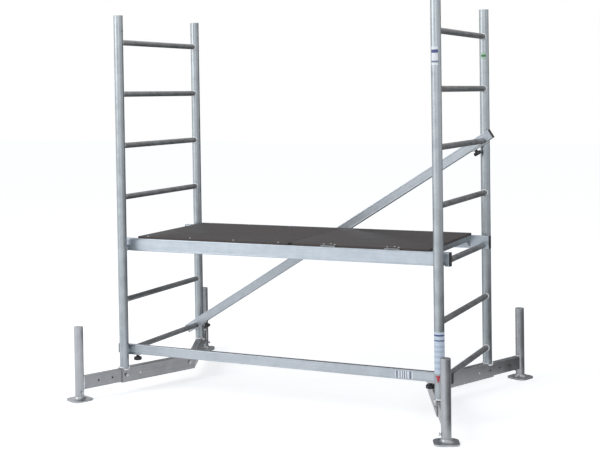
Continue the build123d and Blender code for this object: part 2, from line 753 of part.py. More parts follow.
def build_nodes():
    """Every node's name and its list of solids."""
    nodes = {}
    for corner in CORNERS:
        nodes["stile_" + corner.name] = [make_stile(corner)]
        nodes["arm_sleeve_" + corner.name] = [make_arm_sleeve(corner)]
        nodes["inner_arm_" + corner.name] = [make_inner_arm(corner)]
        nodes["foot_sleeve_" + corner.name] = [make_foot_sleeve(corner)]
        nodes["foot_leg_" + corner.name] = [make_foot_leg(corner)]
        nodes["arm_lock_pin_" + corner.name] = [make_arm_lock_pin(corner)]
        nodes["foot_lock_pin_" + corner.name] = [make_foot_lock_pin(corner)]
    for name, end in END_NAMES.items():
        nodes["rungs_" + name] = make_rungs(end)
        nodes["apex_bracket_" + name] = [make_apex_bracket(end)]
        nodes["deck_crossbar_" + name] = [make_crossbar(crossbar_x(end))]
    nodes["arm_glides"] = [make_glide(corner) for corner in CORNERS]
    nodes["arm_rivets"] = [piece for corner in CORNERS for piece in make_glide_rivets(corner)]
    nodes["apex_bolts"] = [piece for corner in CORNERS for piece in make_apex_bolt(corner)]
    nodes["deck_rail_front"] = [make_deck_rail(-1)]
    nodes["deck_rail_rear"] = [make_deck_rail(1)]
    nodes["deck_rail_caps"] = make_rail_caps()
    nodes["deck_crossbar_middle"] = [make_crossbar(crossbar_x(0))]
    nodes["deck_gussets"] = [make_gusset(end, side) for end in (-1, 1) for side in (-1, 1)]
    nodes["deck_panel"] = [make_panel()]
    nodes["deck_rivets"] = make_deck_rivets()
    nodes["hinge_knuckles"] = [piece for spot in hinge_spots for piece in make_fixed_knuckles(spot)]
    nodes["hinge_pins"] = [make_hinge_pin(spot) for spot in hinge_spots]
    nodes["hatch_panel"] = [make_hatch_panel()]
    nodes["hatch_hinge_flaps"] = [make_hinge_flap(spot) for spot in hinge_spots]
    nodes["hatch_rivets"] = make_hatch_rivets()
    for name, brace in BRACES.items():
        nodes[name + "_brace"] = [make_brace(brace)]
        for end_name, end in END_NAMES.items():
            nodes["clamp_knob_" + name + "_" + end_name] = [make_knob(brace, end)]
    clamps = [(brace, end) for brace in BRACES.values() for end in END_NAMES.values()]
    nodes["clamp_claws"] = [make_claw(brace, end) for brace, end in clamps]
    nodes["clamp_nuts"] = [make_clamp_nut(brace, end) for brace, end in clamps]
    nodes["brace_caps"] = [cap for brace in BRACES.values() for cap in make_brace_caps(brace)]
    return nodes


def write_nodes(nodes):
    """Write each node's solids to parts/NODE.step."""
    os.makedirs("parts", exist_ok=True)
    for name, pieces in nodes.items():
        solids = [solid for piece in pieces for solid in piece.solids()]
        shape = solids[0] if len(solids) == 1 else Compound(children=solids)
        export_step(shape, os.path.join("parts", name + ".step"))


write_nodes(build_nodes())
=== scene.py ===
"""Looks of a frame scaffold section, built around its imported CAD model.

The CAD tubes, arms, rails and fittings keep their shapes and get procedural finishes. Ribbed rungs,
weld beads, film-faced boards, clamp knobs, rail and brace ribs and plain labels are modelled here.
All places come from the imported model, in metres.
"""
import json
import logging
import math
from collections.abc import Callable
from dataclasses import dataclass, field, replace
from enum import Enum

import bmesh
import bpy
from mathutils import Matrix, Vector


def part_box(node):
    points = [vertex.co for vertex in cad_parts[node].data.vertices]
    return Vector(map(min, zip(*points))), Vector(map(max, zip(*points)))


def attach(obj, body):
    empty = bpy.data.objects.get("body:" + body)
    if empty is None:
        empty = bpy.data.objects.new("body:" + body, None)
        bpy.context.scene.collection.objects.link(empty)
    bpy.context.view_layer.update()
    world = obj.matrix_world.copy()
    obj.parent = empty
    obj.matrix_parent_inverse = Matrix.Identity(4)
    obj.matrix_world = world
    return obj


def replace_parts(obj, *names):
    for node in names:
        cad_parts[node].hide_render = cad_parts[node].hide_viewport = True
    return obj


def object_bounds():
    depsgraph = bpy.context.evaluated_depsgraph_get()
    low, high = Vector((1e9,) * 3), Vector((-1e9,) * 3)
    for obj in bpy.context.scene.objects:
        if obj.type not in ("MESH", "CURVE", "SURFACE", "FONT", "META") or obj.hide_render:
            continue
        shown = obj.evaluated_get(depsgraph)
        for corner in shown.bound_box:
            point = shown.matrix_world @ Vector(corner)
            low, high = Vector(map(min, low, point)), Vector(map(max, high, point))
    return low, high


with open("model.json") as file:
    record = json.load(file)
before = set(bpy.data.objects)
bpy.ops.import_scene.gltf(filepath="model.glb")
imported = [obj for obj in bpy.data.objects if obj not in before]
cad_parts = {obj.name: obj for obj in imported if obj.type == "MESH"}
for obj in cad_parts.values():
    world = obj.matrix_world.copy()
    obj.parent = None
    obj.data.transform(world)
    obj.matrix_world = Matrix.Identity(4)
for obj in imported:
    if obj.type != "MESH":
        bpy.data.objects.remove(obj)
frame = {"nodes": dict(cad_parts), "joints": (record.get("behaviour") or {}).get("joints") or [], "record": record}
cad_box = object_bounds()

LOG = logging.getLogger("scaffold")
MM = 0.001
UP = Vector((0, 0, 1))


class Direction(Enum):
    """A main direction that a profile can be drawn along."""

    X = (1.0, 0.0, 0.0)
    Y = (0.0, 1.0, 0.0)
    Z = (0.0, 0.0, 1.0)


# ---- colours and node trees ----

def linear(hex_colour: str) -> tuple[float, float, float, float]:
    """Turn an sRGB hex colour into linear red, green, blue and a full alpha.

    Args:
        hex_colour: six hex digits, without a leading sign.

    Returns:
        The linear colour as Blender's sockets take it.
    """
    channels = [int(hex_colour[start:start + 2], 16) / 255 for start in (0, 2, 4)]
    low_end = 0.04045
    values = [c / 12.92 if c <= low_end else ((c + 0.055) / 1.055) ** 2.4 for c in channels]
    return (values[0], values[1], values[2], 1.0)


def fill_sockets(tree: bpy.types.NodeTree, node: bpy.types.Node, inputs: dict) -> None:
    """Link or set some of a node's input sockets.

    Args:
        tree: the node tree that holds the node.
        node: the node to fill.
        inputs: socket name or index, with the output socket or the value that it gets.
    """
    for socket, value in inputs.items():
        if isinstance(value, bpy.types.NodeSocket):
            tree.links.new(value, node.inputs[socket])
        else:
            node.inputs[socket].default_value = value


def add_node(tree: bpy.types.NodeTree, kind: str, settings: dict | None = None,
             inputs: dict | None = None) -> bpy.types.Node:
    """Add one node with its settings, and its sockets either linked or set.

    Args:
        tree: the node tree to add to.
        kind: the node's type name.
        settings: attributes of the node itself.
        inputs: socket name or index, with the output socket or the value that it gets.

    Returns:
        The new node.
    """
    node = tree.nodes.new(kind)
    for name, value in (settings or {}).items():
        setattr(node, name, value)
    fill_sockets(tree, node, inputs or {})
    return node


def empty_material(name: str) -> bpy.types.Material:
    """A new material with nothing in its node tree yet.

    Args:
        name: the material's name.

    Returns:
        The empty material.
    """
    material = bpy.data.materials.new(name)
    material.use_nodes = True
    material.node_tree.nodes.clear()
    return material


def direction_angles(direction: Vector) -> tuple[float, float, float]:
    """Euler angles of a frame whose x axis lies along a direction."""
    return tuple(direction.to_track_quat("X", "Z").to_euler())


@dataclass(frozen=True)
class Finish:
    """What a surface is made of. Each finish dresses one material's node tree."""

    name: str

    def dress(self, tree: bpy.types.NodeTree, shader: bpy.types.Node) -> None:
        """Add the finish's own nodes to the tree and set its shader."""
        raise NotImplementedError

    def material(self) -> bpy.types.Material:
        """Make the material, or give it again if it was made before.

        Returns:
            The finished material.
        """
        known = bpy.data.materials.get(self.name)
        if known is not None:
            return known
        material = empty_material(self.name)
        tree = material.node_tree
        shader = add_node(tree, "ShaderNodeBsdfPrincipled")
        add_node(tree, "ShaderNodeOutputMaterial", inputs={"Surface": shader.outputs["BSDF"]})
        self.dress(tree, shader)
        return material


@dataclass(frozen=True)
class MillAluminium(Finish):
    """Mill-finish extruded aluminium: fine die lines along its length, a soft grey oxide and dull scuffs."""

    along: tuple[float, float, float] = Direction.Z.value
    light: str = "adb4b8"
    dark: str = "949ba0"
    dull: str = "898e92"
    gloss_roughness: float = 0.34
    dull_roughness: float = 0.50
    line_spacing: float = 1.6 * MM   # real die lines are nearer 0.2 mm, and are drawn coarser to show
    line_length: float = 420 * MM
    cloud_size: float = 60 * MM
    scuff_size: float = 7 * MM
    line_depth: float = 0.03 * MM

    def dress(self, tree: bpy.types.NodeTree, shader: bpy.types.Node) -> None:
        """Streaks along the extrusion, cloudy oxide and small scuffs, in colour, roughness and bump.

        Args:
            tree: the material's node tree.
            shader: the material's own shader, which the finish's nodes end in.
        """
        place = add_node(tree, "ShaderNodeTexCoord").outputs["Object"]
        stretched = add_node(tree, "ShaderNodeMapping", {"vector_type": "TEXTURE"}, {
            "Vector": place,
            "Rotation": direction_angles(Vector(self.along)),
            "Scale": (self.line_length, self.line_spacing, self.line_spacing),
        })
        lines = add_node(tree, "ShaderNodeTexNoise", inputs={
            "Vector": stretched.outputs["Vector"], "Scale": 1.0, "Detail": 3.0, "Roughness": 0.6,
        })
        clouds = add_node(tree, "ShaderNodeTexNoise", inputs={
            "Vector": place, "Scale": 1 / self.cloud_size, "Detail": 4.0, "Roughness": 0.55,
        })
        scuffs = add_node(tree, "ShaderNodeTexNoise", inputs={
            "Vector": place, "Scale": 1 / self.scuff_size, "Detail": 6.0, "Roughness": 0.7, "Distortion": 0.8,
        })
        scuffed = add_node(tree, "ShaderNodeMapRange", inputs={
            "Value": scuffs.outputs["Fac"], "From Min": 0.60, "From Max": 0.74, "To Max": 0.7,
        })
        shade = add_node(tree, "ShaderNodeMix", inputs={
            0: 0.45, 2: lines.outputs["Fac"], 3: clouds.outputs["Fac"],
        })
        spread = add_node(tree, "ShaderNodeMapRange", inputs={
            "Value": shade.outputs[0], "From Min": 0.38, "From Max": 0.62,
        })
        clean = add_node(tree, "ShaderNodeMix", {"data_type": "RGBA"}, {
            0: spread.outputs["Result"], 6: linear(self.dark), 7: linear(self.light),
        })
        colour = add_node(tree, "ShaderNodeMix", {"data_type": "RGBA"}, {
            0: scuffed.outputs["Result"], 6: clean.outputs[2], 7: linear(self.dull),
        })
        dullness = add_node(tree, "ShaderNodeMath", {"operation": "MAXIMUM"}, {
            0: scuffed.outputs["Result"], 1: clouds.outputs["Fac"],
        })
        roughness = add_node(tree, "ShaderNodeMapRange", inputs={
            "Value": dullness.outputs["Value"], "From Min": 0.3, "From Max": 0.8,
            "To Min": self.gloss_roughness, "To Max": self.dull_roughness,
        })
        bump = add_node(tree, "ShaderNodeBump", inputs={
            "Height": lines.outputs["Fac"], "Strength": 0.6, "Distance": self.line_depth,
        })
        fill_sockets(tree, shader, {
            "Base Color": colour.outputs[2], "Metallic": 1.0, "Roughness": roughness.outputs["Result"],
            "Normal": bump.outputs["Normal"],
        })


@dataclass(frozen=True)
class WeldAluminium(Finish):
    """TIG weld metal on aluminium: bright, clean ripples."""

    light: str = "eceef0"
    dark: str = "c3c7cb"
    ripple: float = 3 * MM
    ripple_depth: float = 0.2 * MM
    roughness: float = 0.36

    def dress(self, tree: bpy.types.NodeTree, shader: bpy.types.Node) -> None:
        """Small bright and dark patches, with a bump as fine as the ripples.

        Args:
            tree: the material's node tree.
            shader: the material's own shader, which the finish's nodes end in.
        """
        place = add_node(tree, "ShaderNodeTexCoord").outputs["Object"]
        grain = add_node(tree, "ShaderNodeTexNoise", inputs={
            "Vector": place, "Scale": 1 / self.ripple, "Detail": 3.0, "Roughness": 0.6,
        })
        spread = add_node(tree, "ShaderNodeMapRange", inputs={
            "Value": grain.outputs["Fac"], "From Min": 0.35, "From Max": 0.65,
        })
        colour = add_node(tree, "ShaderNodeMix", {"data_type": "RGBA"}, {
            0: spread.outputs["Result"], 6: linear(self.dark), 7: linear(self.light),
        })
        bump = add_node(tree, "ShaderNodeBump", inputs={
            "Height": grain.outputs["Fac"], "Strength": 0.5, "Distance": self.ripple_depth,
        })
        fill_sockets(tree, shader, {
            "Base Color": colour.outputs[2], "Metallic": 1.0, "Roughness": self.roughness,
            "Normal": bump.outputs["Normal"],
        })


@dataclass(frozen=True)
class ZincSteel(Finish):
    """Zinc-plated steel: pale cool grey with a faint crystal spangle and small rubbed spots."""

    light: str = "ced2d4"
    dark: str = "979ca0"
    rubbed: str = "83807c"
    spangle: float = 2.5 * MM
    rub_size: float = 9 * MM

    def dress(self, tree: bpy.types.NodeTree, shader: bpy.types.Node) -> None:
        """Spangle cells in colour and roughness, darkened where the plating is rubbed.

        Args:
            tree: the material's node tree.
            shader: the material's own shader, which the finish's nodes end in.
        """
        place = add_node(tree, "ShaderNodeTexCoord").outputs["Object"]
        cells = add_node(tree, "ShaderNodeTexVoronoi", inputs={"Vector": place, "Scale": 1 / self.spangle})
        rub = add_node(tree, "ShaderNodeTexNoise", inputs={
            "Vector": place, "Scale": 1 / self.rub_size, "Detail": 5.0, "Roughness": 0.65,
        })
        rubbed = add_node(tree, "ShaderNodeMapRange", inputs={
            "Value": rub.outputs["Fac"], "From Min": 0.56, "From Max": 0.70, "To Max": 0.8,
        })
        plated = add_node(tree, "ShaderNodeMix", {"data_type": "RGBA"}, {
            0: cells.outputs["Distance"], 6: linear(self.light), 7: linear(self.dark),
        })
        colour = add_node(tree, "ShaderNodeMix", {"data_type": "RGBA"}, {
            0: rubbed.outputs["Result"], 6: plated.outputs[2], 7: linear(self.rubbed),
        })
        roughness = add_node(tree, "ShaderNodeMapRange", inputs={
            "Value": cells.outputs["Distance"], "To Min": 0.26, "To Max": 0.44,
        })
        fill_sockets(tree, shader, {
            "Base Color": colour.outputs[2], "Metallic": 1.0, "Roughness": roughness.outputs["Result"],
        })


@dataclass(frozen=True)
class MouldedPlastic(Finish):
    """Injection-moulded plastic: even colour, a fine spark-eroded grain and greyed, handled patches."""

    colour: str = "1d1e20"
    worn: str = "3a3b3d"
    roughness: float = 0.48
    grain: float = 1.2 * MM          # the real grain is nearer 0.3 mm, and is drawn coarser to show
    grain_depth: float = 0.08 * MM
    wear_size: float = 14 * MM

    def dress(self, tree: bpy.types.NodeTree, shader: bpy.types.Node) -> None:
        """Handled patches in colour and roughness over an even moulded grain.

        Args:
            tree: the material's node tree.
            shader: the material's own shader, which the finish's nodes end in.
        """
        place = add_node(tree, "ShaderNodeTexCoord").outputs["Object"]
        grain = add_node(tree, "ShaderNodeTexVoronoi", inputs={"Vector": place, "Scale": 1 / self.grain})
        wear = add_node(tree, "ShaderNodeTexNoise", inputs={
            "Vector": place, "Scale": 1 / self.wear_size, "Detail": 5.0, "Roughness": 0.65,
        })
        worn = add_node(tree, "ShaderNodeMapRange", inputs={
            "Value": wear.outputs["Fac"], "From Min": 0.48, "From Max": 0.72, "To Max": 0.8,
        })
        colour = add_node(tree, "ShaderNodeMix", {"data_type": "RGBA"}, {
            0: worn.outputs["Result"], 6: linear(self.colour), 7: linear(self.worn),
        })
        roughness = add_node(tree, "ShaderNodeMapRange", inputs={
            "Value": worn.outputs["Result"], "To Min": self.roughness, "To Max": self.roughness + 0.15,
        })
        bump = add_node(tree, "ShaderNodeBump", inputs={
            "Height": grain.outputs["Distance"], "Strength": 0.3, "Distance": self.grain_depth,
        })
        fill_sockets(tree, shader, {
            "Base Color": colour.outputs[2], "Roughness": roughness.outputs["Result"],
            "Normal": bump.outputs["Normal"],
        })


@dataclass(frozen=True)
class FilmPlywood(Finish):
    """Film-faced plywood: dark brown phenolic film with a pressed wire-mesh grip, scuffed by boots."""

    film: str = "2f2b2c"
    faded: str = "3f3a3b"
    scuffed: str = "6d6968"
    mesh_pitch: float = 5 * MM       # the pressed mesh is nearer 2.5 mm, and is drawn coarser to show
    wire: float = 0.16               # share of the pitch that a wire's mark takes
    fade_size: float = 240 * MM
    scuff_length: float = 90 * MM
    scuff_width: float = 9 * MM
    mesh_depth: float = 0.25 * MM

    def dress(self, tree: bpy.types.NodeTree, shader: bpy.types.Node) -> None:
        """Pressed mesh in bump, broad fading and dragged pale scuffs in colour and roughness.

        Args:
            tree: the material's node tree.
            shader: the material's own shader, which the finish's nodes end in.
        """
        place = add_node(tree, "ShaderNodeTexCoord").outputs["Object"]
        grid = add_node(tree, "ShaderNodeTexBrick", {"offset": 0.5, "squash": 1.0}, {
            "Vector": place, "Scale": 1.0, "Mortar Size": self.mesh_pitch * self.wire,
            "Mortar Smooth": 0.6, "Brick Width": self.mesh_pitch, "Row Height": self.mesh_pitch,
        })
        fade = add_node(tree, "ShaderNodeTexNoise", inputs={
            "Vector": place, "Scale": 1 / self.fade_size, "Detail": 5.0, "Roughness": 0.6,
        })
        dragged = add_node(tree, "ShaderNodeMapping", {"vector_type": "TEXTURE"}, {
            "Vector": place, "Rotation": (0.0, 0.0, math.radians(14)),
            "Scale": (self.scuff_length, self.scuff_width, self.scuff_width),
        })
        scuff = add_node(tree, "ShaderNodeTexNoise", inputs={
            "Vector": dragged.outputs["Vector"], "Scale": 1.0, "Detail": 6.0, "Roughness": 0.68,
            "Distortion": 0.6,
        })
        scuffs = add_node(tree, "ShaderNodeMapRange", inputs={
            "Value": scuff.outputs["Fac"], "From Min": 0.58, "From Max": 0.80, "To Max": 0.55,
        })
        faded = add_node(tree, "ShaderNodeMapRange", inputs={
            "Value": fade.outputs["Fac"], "From Min": 0.38, "From Max": 0.64,
        })
        base = add_node(tree, "ShaderNodeMix", {"data_type": "RGBA"}, {
            0: faded.outputs["Result"], 6: linear(self.film), 7: linear(self.faded),
        })
        colour = add_node(tree, "ShaderNodeMix", {"data_type": "RGBA"}, {
            0: scuffs.outputs["Result"], 6: base.outputs[2], 7: linear(self.scuffed),
        })
        roughness = add_node(tree, "ShaderNodeMapRange", inputs={
            "Value": faded.outputs["Result"], "To Min": 0.50, "To Max": 0.66,
        })
        bump = add_node(tree, "ShaderNodeBump", inputs={
            "Height": grid.outputs["Fac"], "Strength": 0.5, "Distance": self.mesh_depth,
        })
        fill_sockets(tree, shader, {
            "Base Color": colour.outputs[2], "Roughness": roughness.outputs["Result"],
            "Normal": bump.outputs["Normal"],
        })


@dataclass(frozen=True)
class SealedPlies(Finish):
    """Sawn plywood edge under dark sealing paint: thin plies show through as faint layers."""

    paint: str = "3b3534"
    ply: str = "5c5048"
    ply_thickness: float = 1.4 * MM
    chip_size: float = 12 * MM
    roughness: float = 0.68

    def dress(self, tree: bpy.types.NodeTree, shader: bpy.types.Node) -> None:
        """Layers across the board's thickness, clearer where the paint is chipped.

        Args:
            tree: the material's node tree.
            shader: the material's own shader, which the finish's nodes end in.
        """
        place = add_node(tree, "ShaderNodeTexCoord").outputs["Object"]
        layers = add_node(tree, "ShaderNodeTexWave", {"bands_direction": "Z"}, {
            "Vector": place, "Scale": 1 / (2 * math.pi * self.ply_thickness), "Distortion": 0.4,
            "Detail": 2.0,
        })
        chips = add_node(tree, "ShaderNodeTexNoise", inputs={
            "Vector": place, "Scale": 1 / self.chip_size, "Detail": 6.0, "Roughness": 0.7,
        })
        chipped = add_node(tree, "ShaderNodeMapRange", inputs={
            "Value": chips.outputs["Fac"], "From Min": 0.5, "From Max": 0.72, "To Min": 0.25,
        })
        amount = add_node(tree, "ShaderNodeMath", {"operation": "MULTIPLY"}, {
            0: layers.outputs["Fac"], 1: chipped.outputs["Result"],
        })
        colour = add_node(tree, "ShaderNodeMix", {"data_type": "RGBA"}, {
            0: amount.outputs["Value"], 6: linear(self.paint), 7: linear(self.ply),
        })
        fill_sockets(tree, shader, {"Base Color": colour.outputs[2], "Roughness": self.roughness})


@dataclass(frozen=True)
class LabelFilm(Finish):
    """Printed vinyl film under clear lacquer: an even colour, faintly mottled and rubbed dull."""

    colour: str = "ffffff"
    grime: str = "8b8f94"
    mottle: float = 8 * MM

    def dress(self, tree: bpy.types.NodeTree, shader: bpy.types.Node) -> None:
        """An even print colour with a thin, uneven veil of grime.

        Args:
            tree: the material's node tree.
            shader: the material's own shader, which the finish's nodes end in.
        """
        place = add_node(tree, "ShaderNodeTexCoord").outputs["Object"]
        veil = add_node(tree, "ShaderNodeTexNoise", inputs={
            "Vector": place, "Scale": 1 / self.mottle, "Detail": 5.0, "Roughness": 0.65,
        })
        amount = add_node(tree, "ShaderNodeMapRange", inputs={
            "Value": veil.outputs["Fac"], "From Min": 0.45, "From Max": 0.75, "To Max": 0.35,
        })
        colour = add_node(tree, "ShaderNodeMix", {"data_type": "RGBA"}, {
            0: amount.outputs["Result"], 6: linear(self.colour), 7: linear(self.grime),
        })
        roughness = add_node(tree, "ShaderNodeMapRange", inputs={
            "Value": veil.outputs["Fac"], "To Min": 0.28, "To Max": 0.48,
        })
        fill_sockets(tree, shader, {
            "Base Color": colour.outputs[2], "Roughness": roughness.outputs["Result"],
        })


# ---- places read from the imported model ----

CORNERS = ("front_left", "front_right", "rear_left", "rear_right")
ENDS = ("left", "right")


def joint(name: str) -> dict:
    """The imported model's joint of that name."""
    return next(entry for entry in frame["joints"] if entry["name"] == name)


def arm_direction(corner: str) -> Vector:
    """Unit vector along a corner's arm, away from the scaffold."""
    return Vector(joint("arm_slide_" + corner)["axis"]).normalized()


def ground_point(node: str) -> Vector:
    """Point on the ground under an upright tube's axis, from the tube's own box.

    Args:
        node: the tube's CAD node.

    Returns:
        The point, with a height of 0.
    """
    low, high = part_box(node)
    middle = (low + high) / 2
    return Vector((middle.x, middle.y, 0.0))


def tube_radius(node: str) -> float:
    """Outer radius of an upright tube, from its own box."""
    low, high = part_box(node)
    return (high.x - low.x) / 2


def side_boxes(node: str) -> list[tuple[Vector, Vector]]:
    """The boxes of a node's left and right pieces.

    Args:
        node: a CAD node with one piece left of its middle and one right of it.

    Returns:
        The low and high corner of the left piece, then of the right one.
    """
    low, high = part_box(node)
    middle = (low.x + high.x) / 2
    boxes = []
    for side in (-1, 1):
        corners = [vert.co for vert in frame["nodes"][node].data.vertices if (vert.co.x - middle) * side > 0]
        boxes.append((Vector(min(co[axis] for co in corners) for axis in range(3)),
                      Vector(max(co[axis] for co in corners) for axis in range(3))))
    return boxes


# ---- mesh helpers ----

def object_from(name: str, bm: bmesh.types.BMesh) -> bpy.types.Object:
    """Turn a bmesh into an object in the scene, and free the bmesh.

    Args:
        name: the name of the object and its mesh.
        bm: the finished shape.

    Returns:
        The new object, at the origin.
    """
    mesh = bpy.data.meshes.new(name)
    bm.to_mesh(mesh)
    bm.free()
    made = bpy.data.objects.new(name, mesh)
    bpy.context.scene.collection.objects.link(made)
    return made


def piece_from(name: str, bm: bmesh.types.BMesh, finishes: list[Finish], body: str,
               sharp_angle: float = 35.0) -> bpy.types.Object:
    """Turn a bmesh into a dressed piece that rides a body.

    Args:
        name: the piece's name.
        bm: the finished shape, which is freed.
        finishes: one finish for each material index in use.
        body: the CAD body that the piece moves with.
        sharp_angle: degrees past which an edge stays sharp.

    Returns:
        The new object, at the origin.
    """
    piece = object_from(name, bm)
    mesh = piece.data
    for finish in finishes:
        mesh.materials.append(finish.material())
    mesh.polygons.foreach_set("use_smooth", [True] * len(mesh.polygons))
    mesh.set_sharp_from_angle(angle=math.radians(sharp_angle))
    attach(piece, body)
    LOG.info("%s: %d faces on body %s", name, len(mesh.polygons), body)
    return piece


def close_and_orient(bm: bmesh.types.BMesh) -> None:
    """Merge doubles and point every face outwards."""
    bmesh.ops.remove_doubles(bm, verts=bm.verts, dist=0.005 * MM)
    bmesh.ops.recalc_face_normals(bm, faces=bm.faces)


def bevel_edges(bm: bmesh.types.BMesh, edges: list, width: float, segments: int) -> None:
    """Round some edges with a true arc."""
    bmesh.ops.bevel(bm, geom=edges, offset=width, offset_type="OFFSET", segments=segments,
                    profile=0.5, affect="EDGES", material=-1, clamp_overlap=True)


def extrude_faces(bm: bmesh.types.BMesh, faces: list, step: tuple[float, float, float]) -> None:
    """Grow some faces into a solid, whose far side they become.

    Args:
        bm: the bmesh that holds the faces.
        faces: the faces to grow.
        step: how far, and which way, they grow.
    """
    grown = bmesh.ops.extrude_face_region(bm, geom=faces)
    moved = [item for item in grown["geom"] if isinstance(item, bmesh.types.BMVert)]
    bmesh.ops.translate(bm, verts=moved, vec=step)


def merge_into(target: bmesh.types.BMesh, part: bmesh.types.BMesh) -> None:
    """Add one bmesh's shape to another, and free it.

    Args:
        target: the bmesh that gets the shape.
        part: the bmesh to add, which is freed.
    """
    mesh = bpy.data.meshes.new("merge")
    part.to_mesh(mesh)
    part.free()
    target.from_mesh(mesh)
    bpy.data.meshes.remove(mesh)


def weld_ring(place: Matrix, half_width: float, half_height: float, squareness: float,
              bead: float, seam: Callable[[float, float], float], steps: int = 96) -> bmesh.types.BMesh:
    """One closed weld bead with stacked ripples.

    Args:
        place: local frame whose z is the ring's axis.
        half_width: reach of the seam along local x.
        half_height: reach of the seam along local y.
        squareness: 1 for an ellipse, less for a rounded rectangle.
        bead: radius of the bead.
        seam: height of the seam over the ring's plane at a local x and y.
        steps: sections around the ring, four for each ripple.

    Returns:
        The bead as a closed bmesh.
    """
    bm = bmesh.new()
    start = Matrix.Translation((1, 0, 0)) @ Matrix.Rotation(math.pi / 2, 4, "X")
    bmesh.ops.create_circle(bm, segments=8, radius=bead, matrix=start)
    bmesh.ops.spin(bm, geom=bm.verts[:] + bm.edges[:], cent=(0, 0, 0), axis=(0, 0, 1),
                   angle=2 * math.pi, steps=steps, use_merge=True)
    ripples = steps // 4
    ripple_share = 0.14
    for vert in bm.verts:
        angle = math.atan2(vert.co.y, vert.co.x)
        swell = 1 + ripple_share * math.cos(ripples * angle)
        out = (math.hypot(vert.co.x, vert.co.y) - 1) * swell
        rise = vert.co.z * swell
        x = math.copysign(abs(math.cos(angle)) ** squareness, math.cos(angle)) * half_width
        y = math.copysign(abs(math.sin(angle)) ** squareness, math.sin(angle)) * half_height
        outward = Vector((math.cos(angle), math.sin(angle), 0))
        vert.co = Vector((x, y, seam(x, y) + rise)) + outward * out
    close_and_orient(bm)
    bmesh.ops.transform(bm, matrix=place, verts=bm.verts)
    return bm


# ---- sub-assemblies ----

@dataclass
class LadderFrame:
    """One ladder frame's rungs and welds. Its stiles stay the CAD tubes."""

    end: str
    rung_wall: float = 2.0 * MM
    rib_height: float = 0.7 * MM
    rib_count: int = 36
    weld_gap: float = 0.1 * MM
    bead: float = 4 * MM
    bead_stand_off: float = 0.6 * MM     # from the rung's wall out to the bead's middle
    bead_overlap: float = 0.4 * MM       # from the coped end back to the bead's middle
    finish: Finish = field(default_factory=lambda: MillAluminium(
        "ribbed_rung_aluminium", along=Direction.Y.value, light="a6a8aa", dark="88898c", dull="7d7f82",
        line_spacing=1.2 * MM))
    weld: Finish = field(default_factory=lambda: WeldAluminium("tig_weld_aluminium"))

    def __post_init__(self) -> None:
        """Read the frame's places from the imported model."""
        low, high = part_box("rungs_" + self.end)
        self.rung_radius = (high.x - low.x) / 2
        self.x = (high.x + low.x) / 2
        self.first_z = low.z + self.rung_radius
        self.last_z = high.z - self.rung_radius
        self.half_width = ground_point("stile_rear_" + self.end).y
        self.stile_radius = tube_radius("stile_rear_" + self.end)
        self.count = len([o for o in frame["record"]["physics"]["openings"]
                          if o["name"].startswith("rung_gap_" + self.end)]) + 1

    def rung_heights(self) -> list[float]:
        """Heights of the rung axes, from the bottom."""
        pitch = (self.last_z - self.first_z) / (self.count - 1)
        return [self.first_z + pitch * index for index in range(self.count)]

    def cope(self, offset: float) -> float:
        """Distance from the middle plane to the stile's wall at an offset from its axis."""
        reach = self.stile_radius + self.weld_gap
        return self.half_width - math.sqrt(reach * reach - offset * offset)

    def rung(self, number: int, height: float) -> bpy.types.Object:
        """One ribbed tube, coped to both stiles.

        Args:
            number: the rung's number from the bottom.
            height: the height of its axis.

        Returns:
            The rung's object.
        """
        bm = bmesh.new()
        flat = Matrix.Rotation(math.pi / 2, 4, "X")
        points = 4 * self.rib_count
        bore = self.rung_radius - self.rung_wall - self.rib_height
        outer = bmesh.ops.create_circle(bm, segments=points, radius=self.rung_radius, matrix=flat)
        for index, vert in enumerate(outer["verts"]):
            if index % 4 >= 2:
                vert.co *= (self.rung_radius - self.rib_height) / self.rung_radius
        bmesh.ops.create_circle(bm, segments=points, radius=bore, matrix=flat)
        ring = bmesh.ops.bridge_loops(bm, edges=bm.edges[:])
        extrude_faces(bm, ring["faces"], (0, 1, 0))
        for vert in bm.verts:
            side = 1 if vert.co.y > 0.5 else -1
            vert.co = Vector((self.x + vert.co.x, side * self.cope(vert.co.x), height + vert.co.z))
        close_and_orient(bm)
        piece = piece_from(f"rung_{self.end}_{number}", bm, [self.finish], "frame", sharp_angle=60)
        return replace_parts(piece, "rungs_" + self.end)

    def rung_welds(self) -> bpy.types.Object:
        """A weld bead around both ends of every rung.

        Returns:
            The object that holds all the beads.
        """
        welds = bmesh.new()
        reach = self.rung_radius + self.bead_stand_off
        for height in self.rung_heights():
            for side in (-1, 1):
                turn = Matrix.Rotation(-side * math.pi / 2, 4, "X")
                place = Matrix.Translation((self.x, 0, height)) @ turn
                ring = weld_ring(place, reach, reach, squareness=1.0, bead=self.bead,
                                 seam=lambda x, y: self.cope(x) - self.bead_overlap)
                merge_into(welds, ring)
        return piece_from("rung_welds_" + self.end, welds, [self.weld], "frame", sharp_angle=80)

    def build(self) -> None:
        """Build the rungs and their welds."""
        for index, height in enumerate(self.rung_heights()):
            self.rung(index + 1, height)
        self.rung_welds()


